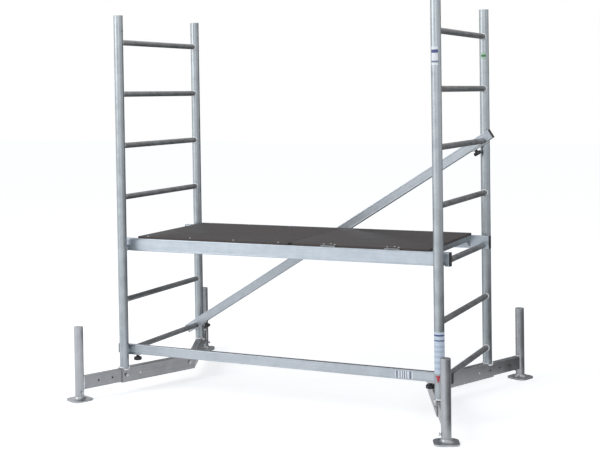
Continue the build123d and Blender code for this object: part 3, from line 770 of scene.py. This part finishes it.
@dataclass
class OutriggerWelds:
    """The welds that hold a stile on its arm and a foot sleeve on its inner arm."""

    corner: str
    bead: float = 4.6 * MM
    bead_stand_off: float = 0.6 * MM     # from the stile's wall out to the bead's middle
    half_arm: float = 20 * MM            # half of the outer arm's width
    half_inner_arm: float = 15 * MM      # half of the seam's width around the inner arm's end
    edge_blend: float = 3 * MM           # over which the bead turns down past the arm's edge
    sleeve_bead_share: float = 0.8       # the foot sleeve's bead is finer
    weld: Finish = field(default_factory=lambda: WeldAluminium("tig_weld_aluminium"))

    def stile_weld(self) -> bpy.types.Object:
        """Bead around the stile's foot: over the arm's top, and down to the coped tips on its sides.

        Returns:
            The bead's object.
        """
        stile = "stile_" + self.corner
        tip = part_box(stile)[0].z
        arm_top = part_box("arm_sleeve_" + self.corner)[1].z
        reach = tube_radius(stile) + self.bead_stand_off
        out = arm_direction(self.corner)
        across = UP.cross(out)
        axes = Matrix((out, across, UP)).transposed().to_4x4()
        place = Matrix.Translation(ground_point(stile)) @ axes

        def seam(x: float, y: float) -> float:
            """Height of the stile's end: on the arm's top, or on its side past the edge."""
            over = abs(y) - self.half_arm + self.edge_blend / 2
            past = min(max(over / self.edge_blend, 0.0), 1.0)
            return arm_top + (tip - arm_top) * past * past * (3 - 2 * past)

        ring = weld_ring(place, reach, reach, squareness=1.0, bead=self.bead, seam=seam, steps=160)
        return piece_from("stile_weld_" + self.corner, ring, [self.weld], "frame",
                          sharp_angle=80)

    def sleeve_weld(self) -> bpy.types.Object:
        """Bead around the inner arm's end, where it meets the foot sleeve.

        Returns:
            The bead's object.
        """
        sleeve = "foot_sleeve_" + self.corner
        radius = tube_radius(sleeve)
        arm_low, arm_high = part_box("inner_arm_" + self.corner)
        half_height = (arm_high.z - arm_low.z) / 2
        out = arm_direction(self.corner)
        axes = Matrix((out.cross(UP), UP, -out)).transposed().to_4x4()
        place = Matrix.Translation(ground_point(sleeve) + UP * (arm_low.z + half_height)) @ axes
        ring = weld_ring(place, self.half_inner_arm, half_height, squareness=0.3,
                         bead=self.bead * self.sleeve_bead_share,
                         seam=lambda x, y: math.sqrt(radius * radius - x * x), steps=128)
        return piece_from("foot_sleeve_weld_" + self.corner, ring, [self.weld], "arm_" + self.corner,
                          sharp_angle=80)

    def build(self) -> None:
        """Build both welds of the corner."""
        self.stile_weld()
        self.sleeve_weld()


@dataclass
class DeckBoard:
    """One half of the deck's film-faced board."""

    node: str
    body: str
    corner_radius: float = 5 * MM
    edge_radius: float = 0.8 * MM
    notch_length: float = 0.0
    notch_width: float = 0.0
    recess_gap: float = 0.5 * MM     # around each hinge flap let into the underside
    flap_depth: float = 2.3 * MM     # from the board's underside up to the top of a hinge flap
    face: Finish = field(default_factory=lambda: FilmPlywood("film_faced_plywood"))
    edge: Finish = field(default_factory=lambda: SealedPlies("sealed_plywood_edge"))

    def build(self) -> bpy.types.Object:
        """Lift the outline to the board's thickness, round it and dress faces and edges.

        Returns:
            The board's object.
        """
        low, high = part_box(self.node)
        corners = [(low.x, high.y), (high.x, high.y), (high.x, low.y)]
        if self.notch_length:
            notch_x, notch_y = low.x + self.notch_length, low.y + self.notch_width
            corners += [(notch_x, low.y), (notch_x, notch_y), (low.x, notch_y)]
        else:
            corners += [(low.x, low.y)]
        bm = bmesh.new()
        outline = bm.faces.new([bm.verts.new((x, y, low.z)) for x, y in reversed(corners)])
        extrude_faces(bm, [outline], (0, 0, high.z - low.z))
        bmesh.ops.recalc_face_normals(bm, faces=bm.faces)
        upright = [edge for edge in bm.edges
                   if abs(edge.verts[0].co.z - edge.verts[1].co.z) > self.edge_radius]
        seam_x = high.x if self.body == "deck" else low.x
        free = [edge for edge in upright if abs(edge.verts[0].co.x - seam_x) > 0.1 * MM]
        bevel_edges(bm, free, self.corner_radius, 5)
        rims = [edge for edge in bm.edges if abs(edge.calc_face_angle(0.0)) > math.radians(60)
                and abs(edge.verts[0].co.z - edge.verts[1].co.z) < self.edge_radius]
        bevel_edges(bm, rims, self.edge_radius, 2)
        for board_face in bm.faces:
            board_face.material_index = 0 if abs(board_face.normal.z) > 0.9 else 1
        piece = piece_from(self.body + "_board", bm, [self.face, self.edge], self.body,
                           sharp_angle=40)
        if self.body == "hatch":
            self.cut_recesses(piece)
        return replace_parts(piece, self.node)

    def cut_recesses(self, piece: bpy.types.Object) -> None:
        """Sink a recess into the board's underside for each hinge flap.

        Args:
            piece: the board's object.
        """
        board_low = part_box(self.node)[0]
        cutter = bmesh.new()
        for low, high in side_boxes("hatch_hinge_flaps"):
            front = board_low.y - self.recess_gap
            back = high.y + self.recess_gap
            thickness = high.z - low.z
            top = board_low.z + self.flap_depth
            size = (high.x - low.x + 2 * self.recess_gap, back - front, 2 * thickness)
            place = Matrix.Translation(((low.x + high.x) / 2, (back + front) / 2, top - thickness))
            bmesh.ops.create_cube(cutter, size=1, matrix=place @ Matrix.Diagonal((*size, 1)))
        tool = object_from("recess_cutter", cutter)
        cut = piece.modifiers.new("recesses", "BOOLEAN")
        cut.operation = "DIFFERENCE"
        cut.solver = "EXACT"
        cut.object = tool
        uncut, cutter_mesh = piece.data, tool.data
        cut_piece = piece.evaluated_get(bpy.context.evaluated_depsgraph_get())
        piece.data = bpy.data.meshes.new_from_object(cut_piece)
        piece.modifiers.clear()
        bpy.data.objects.remove(tool)
        bpy.data.meshes.remove(cutter_mesh)
        bpy.data.meshes.remove(uncut)


@dataclass
class ProfileRibs:
    """The low ribs that an extruded rail or brace carries along one of its faces."""

    node: str
    body: str
    slot: str
    side: int                        # -1 for the front face, 1 for the rear face
    finish: Finish
    rise: float = 0.0                # height gained from the left rung to the right rung
    rib_height: float = 5 * MM
    rib_depth: float = 1.3 * MM
    edge_gap: float = 2.5 * MM
    notch_reach: float = 17 * MM
    rounding: float = 0.6 * MM

    def build(self) -> bpy.types.Object:
        """Ribs near the face's top and bottom, the lower one left out at the rung notches.

        Returns:
            The ribs' object.
        """
        rung_x = ground_point("stile_front_right").x
        turn = Matrix.Rotation(-math.atan2(self.rise, 2 * rung_x), 4, "Y")
        flat = [turn.inverted() @ vert.co for vert in frame["nodes"][self.node].data.vertices]
        low = Vector(min(co[axis] for co in flat) for axis in range(3))
        high = Vector(max(co[axis] for co in flat) for axis in range(3))
        face_y = low.y if self.side < 0 else high.y
        notch = math.hypot(rung_x, self.rise / 2)
        reach = self.notch_reach
        top_z = high.z - self.edge_gap - self.rib_height / 2
        bottom_z = low.z + self.edge_gap + self.rib_height / 2
        left, right = (low.x + high.x) / 2 - notch, (low.x + high.x) / 2 + notch
        spans = [(low.x, high.x, top_z), (low.x, left - reach, bottom_z),
                 (left + reach, right - reach, bottom_z), (right + reach, high.x, bottom_z)]
        ribs = bmesh.new()
        for start, stop, z in spans:
            rib = bmesh.new()
            size = Matrix.Diagonal((stop - start, 2 * self.rib_depth, self.rib_height, 1))
            place = Matrix.Translation(((start + stop) / 2, face_y, z))
            bmesh.ops.create_cube(rib, size=1, matrix=place @ size)
            bevel_edges(rib, rib.edges[:], self.rounding, 2)
            merge_into(ribs, rib)
        bmesh.ops.transform(ribs, matrix=turn, verts=ribs.verts)
        face = "front" if self.side < 0 else "rear"
        return piece_from(f"{self.node}_{face}_ribs", ribs, [self.finish], self.body,
                          sharp_angle=40)


@dataclass
class ClampKnob:
    """Lobed plastic knob with its neck, and the steel stud through it."""

    which: str
    gap: float = 5.3 * MM
    neck_radius: float = 10 * MM
    neck_taper: float = 0.86         # the neck's foot, as a share of its radius under the grip
    neck_height: float = 11 * MM
    disc_radius: float = 21.5 * MM
    disc_height: float = 17 * MM
    lobes: int = 8
    lobe_depth: float = 2.2 * MM
    rounding: float = 3.5 * MM
    rim_width: float = 5 * MM        # around the dished end
    dish: float = 1.2 * MM
    overlap: float = 2 * MM          # of the neck and the stud with what they run into
    stud_radius: float = 4 * MM
    stud_inside: float = 12 * MM
    plastic: Finish = field(default_factory=lambda: MouldedPlastic("moulded_black_plastic"))
    steel: Finish = field(default_factory=lambda: ZincSteel("zinc_plated_steel"))

    def lobed_disc(self) -> bmesh.types.BMesh:
        """The grip: a disc with soft lobes, rounded rims and a dished end.

        Returns:
            The grip as a closed bmesh, standing on the ground plane.
        """
        bm = bmesh.new()
        ring = bmesh.ops.create_circle(bm, cap_ends=True, segments=12 * self.lobes, radius=self.disc_radius)
        for vert in ring["verts"]:
            angle = math.atan2(vert.co.y, vert.co.x)
            dip = self.lobe_depth * (0.5 - 0.5 * math.cos(self.lobes * angle)) ** 2
            vert.co *= 1 - dip / self.disc_radius
        extrude_faces(bm, bm.faces[:], (0, 0, self.disc_height))
        bmesh.ops.recalc_face_normals(bm, faces=bm.faces)
        rims = [edge for edge in bm.edges if abs(edge.verts[0].co.z - edge.verts[1].co.z) < 0.1 * MM]
        bevel_edges(bm, rims, self.rounding, 4)
        end = [face for face in bm.faces if face.normal.z > 0.99]
        bmesh.ops.inset_region(bm, faces=end, thickness=self.rim_width, depth=0)
        end = [face for face in bm.faces if face.normal.z > 0.99 and len(face.verts) > 8]
        bmesh.ops.inset_region(bm, faces=end, thickness=self.dish, depth=-self.dish)
        return bm

    def build(self) -> bpy.types.Object:
        """Stand neck, grip and stud on the clamp's axis and dress them.

        Returns:
            The knob's object.
        """
        hinge = joint("knob_turn_" + self.which)
        axis = Vector(hinge["axis"]).normalized()
        turn = axis.to_track_quat("Z", "Y").to_matrix().to_4x4()
        place = Matrix.Translation(Vector(hinge["pos_m"])) @ turn
        knob = bmesh.new()
        neck_length = self.neck_height + self.overlap
        bmesh.ops.create_cone(knob, cap_ends=True, segments=48, radius1=self.neck_radius * self.neck_taper,
                              radius2=self.neck_radius, depth=neck_length,
                              matrix=Matrix.Translation((0, 0, self.gap + neck_length / 2)))
        disc = self.lobed_disc()
        bmesh.ops.translate(disc, verts=disc.verts, vec=(0, 0, self.gap + self.neck_height))
        merge_into(knob, disc)
        plastic_faces = len(knob.faces)
        stud = bmesh.new()
        length = self.stud_inside + self.gap + self.overlap
        bmesh.ops.create_cone(stud, cap_ends=True, segments=32, radius1=self.stud_radius,
                              radius2=self.stud_radius, depth=length,
                              matrix=Matrix.Translation((0, 0, length / 2 - self.stud_inside)))
        merge_into(knob, stud)
        knob.faces.ensure_lookup_table()
        for index in range(plastic_faces, len(knob.faces)):
            knob.faces[index].material_index = 1
        bmesh.ops.transform(knob, matrix=place, verts=knob.verts)
        name = "knob_" + self.which
        piece = piece_from("clamp_" + name + "_grip", knob, [self.plastic, self.steel], name,
                           sharp_angle=40)
        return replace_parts(piece, "clamp_" + name)


@dataclass
class Label:
    """A plain film label with coloured bands, bent round a stile or flat on a brace.

    Bands are (start, stop, finish index), as shares of the label's length from its start.
    """

    name: str
    finishes: list[Finish]
    bands: list[tuple[float, float, int]]
    width: float
    length: float
    slot: str = "brace_profile"
    taper: float = 0.0               # share of the width lost at the near end
    thickness: float = 0.15 * MM
    lift: float = 0.1 * MM

    def sheet(self) -> bmesh.types.BMesh:
        """Flat sheet: local x across, local y from 0 to the length, split and marked at the bands.

        Returns:
            The sheet as an open bmesh.
        """
        bm = bmesh.new()
        size = Matrix.Diagonal((self.width, self.length, 1, 1))
        place = Matrix.Translation((0, self.length / 2, 0))
        bmesh.ops.create_grid(bm, x_segments=28, y_segments=1, size=0.5, matrix=place @ size)
        cuts = sorted({share for start, stop, _ in self.bands for share in (start, stop)})
        for share in cuts:
            bmesh.ops.bisect_plane(bm, geom=bm.verts[:] + bm.edges[:] + bm.faces[:],
                                   plane_co=(0, share * self.length, 0), plane_no=(0, 1, 0))
        for vert in bm.verts:
            vert.co.x *= 1 - self.taper * (1 - vert.co.y / self.length)
        for face in bm.faces:
            place_share = face.calc_center_median().y / self.length
            for start, stop, index in self.bands:
                if start < place_share < stop:
                    face.material_index = index
        return bm

    def finish_off(self, bm: bmesh.types.BMesh) -> bpy.types.Object:
        """Give the bent sheet its thickness and make it a piece on the frame.

        Args:
            bm: the bent sheet, which is freed.

        Returns:
            The label's object.
        """
        bmesh.ops.recalc_face_normals(bm, faces=bm.faces)
        bmesh.ops.solidify(bm, geom=bm.faces[:], thickness=self.thickness)
        bmesh.ops.recalc_face_normals(bm, faces=bm.faces)
        return piece_from(self.name, bm, self.finishes, "frame", sharp_angle=50)

    def around(self, axis: Vector, radius: float, bottom: float, facing: float) -> bpy.types.Object:
        """Bend the label round an upright tube.

        Args:
            axis: point on the tube's axis.
            radius: the tube's outer radius.
            bottom: height of the label's lower edge.
            facing: degrees from straight front towards the right.

        Returns:
            The label's object.
        """
        bm = self.sheet()
        reach = radius + self.lift + self.thickness
        for vert in bm.verts:
            angle = math.radians(facing) + vert.co.x / reach
            vert.co = Vector((axis.x + reach * math.sin(angle), axis.y - reach * math.cos(angle),
                              bottom + vert.co.y))
        return self.finish_off(bm)

    def on_front(self, start: Vector) -> bpy.types.Object:
        """Lay the label on a front-facing wall, its length along X.

        Args:
            start: middle of the label's left edge on the wall.

        Returns:
            The label's object.
        """
        bm = self.sheet()
        for vert in bm.verts:
            vert.co = Vector((start.x + vert.co.y, start.y - self.lift - self.thickness, start.z + vert.co.x))
        return self.finish_off(bm)


LABEL_COLOURS = {
    "white": "f2f5fa", "pale_blue": "d3e0ee", "mist": "bccbdf", "navy": "3c4c86", "slate": "77839a",
    "pale_green": "b4d6b8", "green": "2f7d4a", "red": "c23347",
}


def films(*names: str) -> list[Finish]:
    """Label films in the colours of those names."""
    return [LabelFilm("label_film_" + name, colour=LABEL_COLOURS[name]) for name in names]


@dataclass
class LabelSet:
    """All the section's labels, as plain bands."""

    upper_drop: float = 312 * MM     # from the stiles' top down to the upper label's lower edge
    small_drop: float = 264 * MM     # from the stiles' top down to the small label's lower edge
    long_bottom: float = 255 * MM    # height of the long label's lower edge
    red_bottom: float = 214 * MM     # height of the red label's lower edge
    brace_start: float = 658 * MM    # where the brace's label begins along X

    def build(self) -> None:
        """Stand each label on its tube."""
        front = ground_point("stile_front_right")
        rear = ground_point("stile_rear_right")
        radius = tube_radius("stile_front_right")
        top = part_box("stile_front_right")[1].z
        upper_bands = [(0.14, 0.24, 2), (0.66, 0.84, 1)]
        upper = Label("label_upper_front", films("white", "navy", "slate"), upper_bands,
                      35 * MM, 88 * MM, "frame_tube")
        upper.around(front, radius, top - self.upper_drop, 0.0)
        small = Label("label_small_rear", films("pale_green", "green"), [(0.30, 0.66, 1)],
                      26 * MM, 33 * MM, "frame_tube")
        small.around(rear, radius, top - self.small_drop, 6.0)
        long_bands = [(0.10, 0.15, 2), (0.24, 0.30, 2), (0.38, 0.43, 2), (0.51, 0.56, 2), (0.63, 0.67, 2),
                      (0.78, 0.81, 1), (0.90, 0.94, 1)]
        long = Label("label_long_front", films("pale_blue", "navy", "mist"), long_bands,
                     72 * MM, 200 * MM, "frame_tube")
        long.around(front, radius, self.long_bottom, 14.0)
        red = Label("label_red_front", films("red"), [], 30 * MM, 32 * MM, "frame_tube", 0.8)
        red.around(front, radius, self.red_bottom, 0.0)
        brace_low, brace_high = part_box("low_brace")
        bars = [(0.06, 0.16, 1), (0.26, 0.31, 2), (0.40, 0.44, 2), (0.50, 0.56, 2), (0.64, 0.68, 2),
                (0.80, 0.92, 1)]
        bar = Label("label_brace", films("white", "slate", "slate"), bars, 44 * MM, 92 * MM)
        bar.on_front(Vector((self.brace_start, brace_low.y, (brace_low.z + brace_high.z) / 2)))


# Rail aluminium, lighter and bluer than the stiles': a painted reflection of the bright front that the rails'
# front faces mirror.
RAIL_ALUMINIUM_PAINTED_REFLECTION = MillAluminium("rail_aluminium_painted_reflection", along=Direction.X.value, light="b8c0c8", dark="a7b0b8",
                               dull="9da4aa")
# Brace aluminium, lighter and bluer than the stiles': a painted reflection of the bright front that the braces'
# front faces mirror.
BRACE_ALUMINIUM_PAINTED_REFLECTION = MillAluminium("brace_aluminium_painted_reflection", along=Direction.X.value, light="b5bbc2", dark="a3aab0",
                                dull="959ba0")


def diagonal_rise() -> float:
    """Height that the diagonal brace gains from the left frame's rungs to the right frame's."""
    left, right = (Vector(joint("knob_turn_diagonal_" + end)["pos_m"]) for end in ENDS)
    return (right.z - left.z) / (right.x - left.x) * 2 * ground_point("stile_front_right").x


def diagonal_finish() -> MillAluminium:
    """The brace aluminium with its lines along the diagonal brace."""
    slope = Vector(joint("knob_turn_diagonal_left")["axis"]).cross(Vector(Direction.Y.value))
    # Keeps the brace colours and their painted reflection of the bright front.
    return replace(BRACE_ALUMINIUM_PAINTED_REFLECTION, name="diagonal_brace_aluminium", along=tuple(slope))


@dataclass
class CadFinishes:
    """Dresses every CAD node that stays in view."""

    steel: Finish = field(default_factory=lambda: ZincSteel("zinc_plated_steel"))
    hinge_steel: Finish = field(default_factory=lambda: ZincSteel(
        "worn_hinge_steel", light="8b8e90", dark="686b6e", rubbed="5d5b58"))
    plastic: Finish = field(default_factory=lambda: MouldedPlastic("moulded_black_plastic"))
    nylon: Finish = field(default_factory=lambda: MouldedPlastic(
        "moulded_grey_nylon", colour="6a6c6e", worn="8b8c8d", roughness=0.42))
    rivet: Finish = field(default_factory=lambda: WeldAluminium(
        "pressed_rivet_aluminium", light="e6e8ea", dark="bfc3c7", roughness=0.3))

    def dress(self, node: str, finish: Finish) -> None:
        """Put one finish on one CAD node.

        Args:
            node: the CAD node's name.
            finish: what it is made of.
        """
        slots = frame["nodes"][node].material_slots
        if not slots:
            frame["nodes"][node].data.materials.append(None)
        for entry in frame["nodes"][node].material_slots:
            entry.material = finish.material()
        LOG.info("%s: dressed as %s", node, finish.name)

    def build(self) -> None:
        """Dress the tubes by the direction each was drawn in, then the small parts."""
        upright = MillAluminium("stile_aluminium", along=Direction.Z.value)
        crosswise = MillAluminium("crossbar_aluminium", along=Direction.Y.value)
        foot_tube = MillAluminium("foot_tube_aluminium", along=Direction.Z.value, light="b1b4b8",
                                  dark="9b9ea2", dull="8f9295")
        for corner in CORNERS:
            arm = MillAluminium("arm_aluminium_" + corner, along=tuple(arm_direction(corner)),
                                light="a4a5a8", dark="8d8f92", dull="7f8183")
            corner_parts = {
                "stile_": upright, "arm_sleeve_": arm, "inner_arm_": arm,
                "foot_sleeve_": foot_tube, "foot_leg_": foot_tube,
                "arm_lock_pin_": self.steel, "foot_lock_pin_": self.steel,
            }
            for part, finish in corner_parts.items():
                self.dress(part + corner, finish)
        dressed_nodes = (
            (crosswise, ("apex_bracket_left", "apex_bracket_right", "deck_crossbar_left",
                         "deck_crossbar_middle", "deck_crossbar_right", "deck_gussets")),
            (RAIL_ALUMINIUM_PAINTED_REFLECTION, ("deck_rail_front", "deck_rail_rear")),
            (BRACE_ALUMINIUM_PAINTED_REFLECTION, ("low_brace",)),
            (diagonal_finish(), ("diagonal_brace",)),
            (self.plastic, ("deck_rail_caps", "brace_caps")),
            (self.steel, ("apex_bolts", "clamp_claws", "clamp_nuts")),
            (self.hinge_steel, ("hinge_knuckles", "hinge_pins", "hatch_hinge_flaps")),
            (self.rivet, ("arm_rivets", "deck_rivets", "hatch_rivets")),
            (self.nylon, ("arm_glides",)),
        )
        for finish, nodes in dressed_nodes:
            for node in nodes:
                self.dress(node, finish)


# ---- studio ----

@dataclass(frozen=True)
class AreaLamp:
    """One soft square lamp that faces the object's middle."""

    name: str
    place: tuple[float, float, float]
    side: float
    share: float                     # of the light that shows a colour as it is written

    def build(self, target: Vector) -> None:
        """Hang the lamp and turn it to the target.

        Args:
            target: the point that the lamp faces.
        """
        data = bpy.data.lights.new(self.name, "AREA")
        data.shape = "SQUARE"
        data.size = self.side
        towards = target - Vector(self.place)
        data.energy = self.share * math.pi ** 2 * towards.length_squared
        lamp = bpy.data.objects.new(self.name, data)
        lamp.location = self.place
        lamp.rotation_euler = towards.to_track_quat("-Z", "Y").to_euler()
        bpy.context.scene.collection.objects.link(lamp)


@dataclass(frozen=True)
class Flag:
    """A dark studio card that only reflections see."""

    name: str
    place: tuple[float, float, float]
    facing: tuple[float, float, float]
    width: float
    height: float
    level: float

    def build(self) -> None:
        """Stand the card up and keep it out of everything but reflections."""
        bm = bmesh.new()
        size = Matrix.Diagonal((self.width, self.height, 1, 1))
        turn = Vector(self.facing).to_track_quat("Z", "Y").to_matrix().to_4x4()
        bmesh.ops.create_grid(bm, x_segments=1, y_segments=1, size=0.5,
                              matrix=Matrix.Translation(self.place) @ turn @ size)
        card = object_from(self.name, bm)
        material = empty_material(self.name)
        tree = material.node_tree
        glow = add_node(tree, "ShaderNodeEmission", inputs={"Strength": self.level})
        add_node(tree, "ShaderNodeOutputMaterial", inputs={"Surface": glow.outputs["Emission"]})
        card.data.materials.append(material)
        card.visible_camera = False
        card.visible_diffuse = False
        card.visible_transmission = False
        card.visible_shadow = False


@dataclass
class Studio:
    """Camera, soft lamps, white backdrop and pale floor."""

    camera_place: tuple[float, float, float] = (2.653, -5.805, 1.596)
    camera_yaw: float = 25.683       # degrees from straight back, towards the left
    camera_pitch: float = 1.479      # degrees below level
    camera_roll: float = -0.871
    lens: float = 70.816
    sensor: float = 36.0
    sight: float = 200.0             # how far the camera sees, past the floor's far edge
    shift: tuple[float, float] = (0.035, -0.1654)
    ambient: float = 0.55
    ambient_colour: str = "eef3fa"
    floor_side: float = 60.0
    floor_drop: float = 0.3 * MM
    floor_white: float = 0.9         # share of the light that the floor's paint sends back
    floor_lift: float = 0.55         # glow that the backdrop's rays see, so that the floor meets the white
    lamps: tuple[AreaLamp, ...] = (
        AreaLamp("key_lamp", (-5.0, -5.2, 4.2), 4.5, 0.40),
        AreaLamp("fill_lamp", (3.4, -6.5, 3.6), 3.0, 0.10),
    )
    flags: tuple[Flag, ...] = (
        Flag("flag_right", (3.0, 1.0, 0.22), (-1, 0, 0), 4.0, 0.44, 0.10),
        Flag("flag_back", (0.75, 4.6, 1.6), (0, -1, 0), 9.5, 3.2, 0.14),
        Flag("flag_floor_right", (3.6, 0.0, 0.0005), (0, 0, 1), 4.8, 6.0, 0.20),
        Flag("flag_floor_back", (-1.0, 2.6, 0.0004), (0, 0, 1), 7.0, 4.0, 0.20),
    )

    def camera(self) -> None:
        """Place the camera and make it the scene's."""
        yaw, pitch, roll = (math.radians(a) for a in (self.camera_yaw, self.camera_pitch, self.camera_roll))
        ahead = Vector((-math.sin(yaw) * math.cos(pitch), math.cos(yaw) * math.cos(pitch), -math.sin(pitch)))
        level = Vector((math.cos(yaw), math.sin(yaw), 0))
        over = level.cross(ahead)
        right = level * math.cos(roll) + over * math.sin(roll)
        up = over * math.cos(roll) - level * math.sin(roll)
        data = bpy.data.cameras.new("camera")
        data.sensor_width = self.sensor
        data.lens = self.lens
        data.shift_x, data.shift_y = self.shift
        data.clip_end = self.sight
        camera = bpy.data.objects.new("camera", data)
        axes = Matrix((right, up, -ahead)).transposed().to_4x4()
        camera.matrix_world = Matrix.Translation(self.camera_place) @ axes
        bpy.context.scene.collection.objects.link(camera)
        bpy.context.scene.camera = camera

    @staticmethod
    def backdrop_rays(tree: bpy.types.NodeTree) -> bpy.types.NodeSocket:
        """Socket that is 1 for the rays that see the white backdrop: camera, glossy and transmission.

        Args:
            tree: the node tree to add the nodes to.

        Returns:
            The socket.
        """
        path = add_node(tree, "ShaderNodeLightPath")
        first = add_node(tree, "ShaderNodeMath", {"operation": "MAXIMUM"}, {
            0: path.outputs["Is Camera Ray"], 1: path.outputs["Is Glossy Ray"],
        })
        both = add_node(tree, "ShaderNodeMath", {"operation": "MAXIMUM"}, {
            0: first.outputs["Value"], 1: path.outputs["Is Transmission Ray"],
        })
        return both.outputs["Value"]

    def world(self) -> None:
        """Soft ambient light, with a plain white backdrop."""
        world = bpy.data.worlds.new("studio")
        bpy.context.scene.world = world
        world.use_nodes = True
        tree = world.node_tree
        tree.nodes.clear()
        soft = add_node(tree, "ShaderNodeBackground", inputs={
            "Color": linear(self.ambient_colour), "Strength": self.ambient,
        })
        white = add_node(tree, "ShaderNodeBackground", inputs={"Color": (1, 1, 1, 1), "Strength": 1.0})
        mix = add_node(tree, "ShaderNodeMixShader", inputs={
            0: self.backdrop_rays(tree), 1: soft.outputs["Background"], 2: white.outputs["Background"],
        })
        add_node(tree, "ShaderNodeOutputWorld", inputs={"Surface": mix.outputs["Shader"]})

    def floor(self) -> None:
        """White painted floor that keeps the object's soft shadow."""
        bm = bmesh.new()
        place = Matrix.Translation((0, 0, -self.floor_drop))
        bmesh.ops.create_grid(bm, x_segments=1, y_segments=1, size=self.floor_side / 2, matrix=place)
        floor = object_from("floor", bm)
        material = empty_material("white_studio_floor")
        tree = material.node_tree
        white = self.floor_white
        paint = add_node(tree, "ShaderNodeBsdfDiffuse", inputs={"Color": (white, white, white, 1)})
        strength = add_node(tree, "ShaderNodeMath", {"operation": "MULTIPLY"}, {
            0: self.backdrop_rays(tree), 1: self.floor_lift,
        })
        glow = add_node(tree, "ShaderNodeEmission", inputs={"Strength": strength.outputs["Value"]})
        both = add_node(tree, "ShaderNodeAddShader", inputs={
            0: paint.outputs["BSDF"], 1: glow.outputs["Emission"],
        })
        add_node(tree, "ShaderNodeOutputMaterial", inputs={"Surface": both.outputs["Shader"]})
        floor.data.materials.append(material)

    def build(self) -> None:
        """Build the whole studio around the object."""
        low, high = cad_box
        middle = (Vector(low) + Vector(high)) / 2
        self.camera()
        self.world()
        self.floor()
        for lamp in self.lamps:
            lamp.build(middle)
        for flag in self.flags:
            flag.build()
        bpy.context.scene.view_settings.view_transform = "Standard"


def main() -> None:
    """Build the studio and the section's pieces in order."""
    logging.basicConfig(level=logging.INFO, format="%(name)s: %(message)s")
    Studio().build()
    CadFinishes().build()
    for end in ENDS:
        LadderFrame(end).build()
    for corner in CORNERS:
        OutriggerWelds(corner).build()
    DeckBoard("deck_panel", "deck").build()
    DeckBoard("hatch_panel", "hatch", notch_length=22 * MM, notch_width=15 * MM).build()
    ProfileRibs("deck_rail_front", "deck", "deck_profile", -1, RAIL_ALUMINIUM_PAINTED_REFLECTION).build()
    ProfileRibs("deck_rail_rear", "deck", "deck_profile", 1, RAIL_ALUMINIUM_PAINTED_REFLECTION).build()
    for side in (-1, 1):
        ProfileRibs("low_brace", "frame", "brace_profile", side, BRACE_ALUMINIUM_PAINTED_REFLECTION).build()
        ProfileRibs("diagonal_brace", "frame", "brace_profile", side, diagonal_finish(),
                    diagonal_rise()).build()
    for which in ("low_left", "low_right", "diagonal_left", "diagonal_right"):
        ClampKnob(which).build()
    LabelSet().build()


if __name__ == "__main__":
    main()
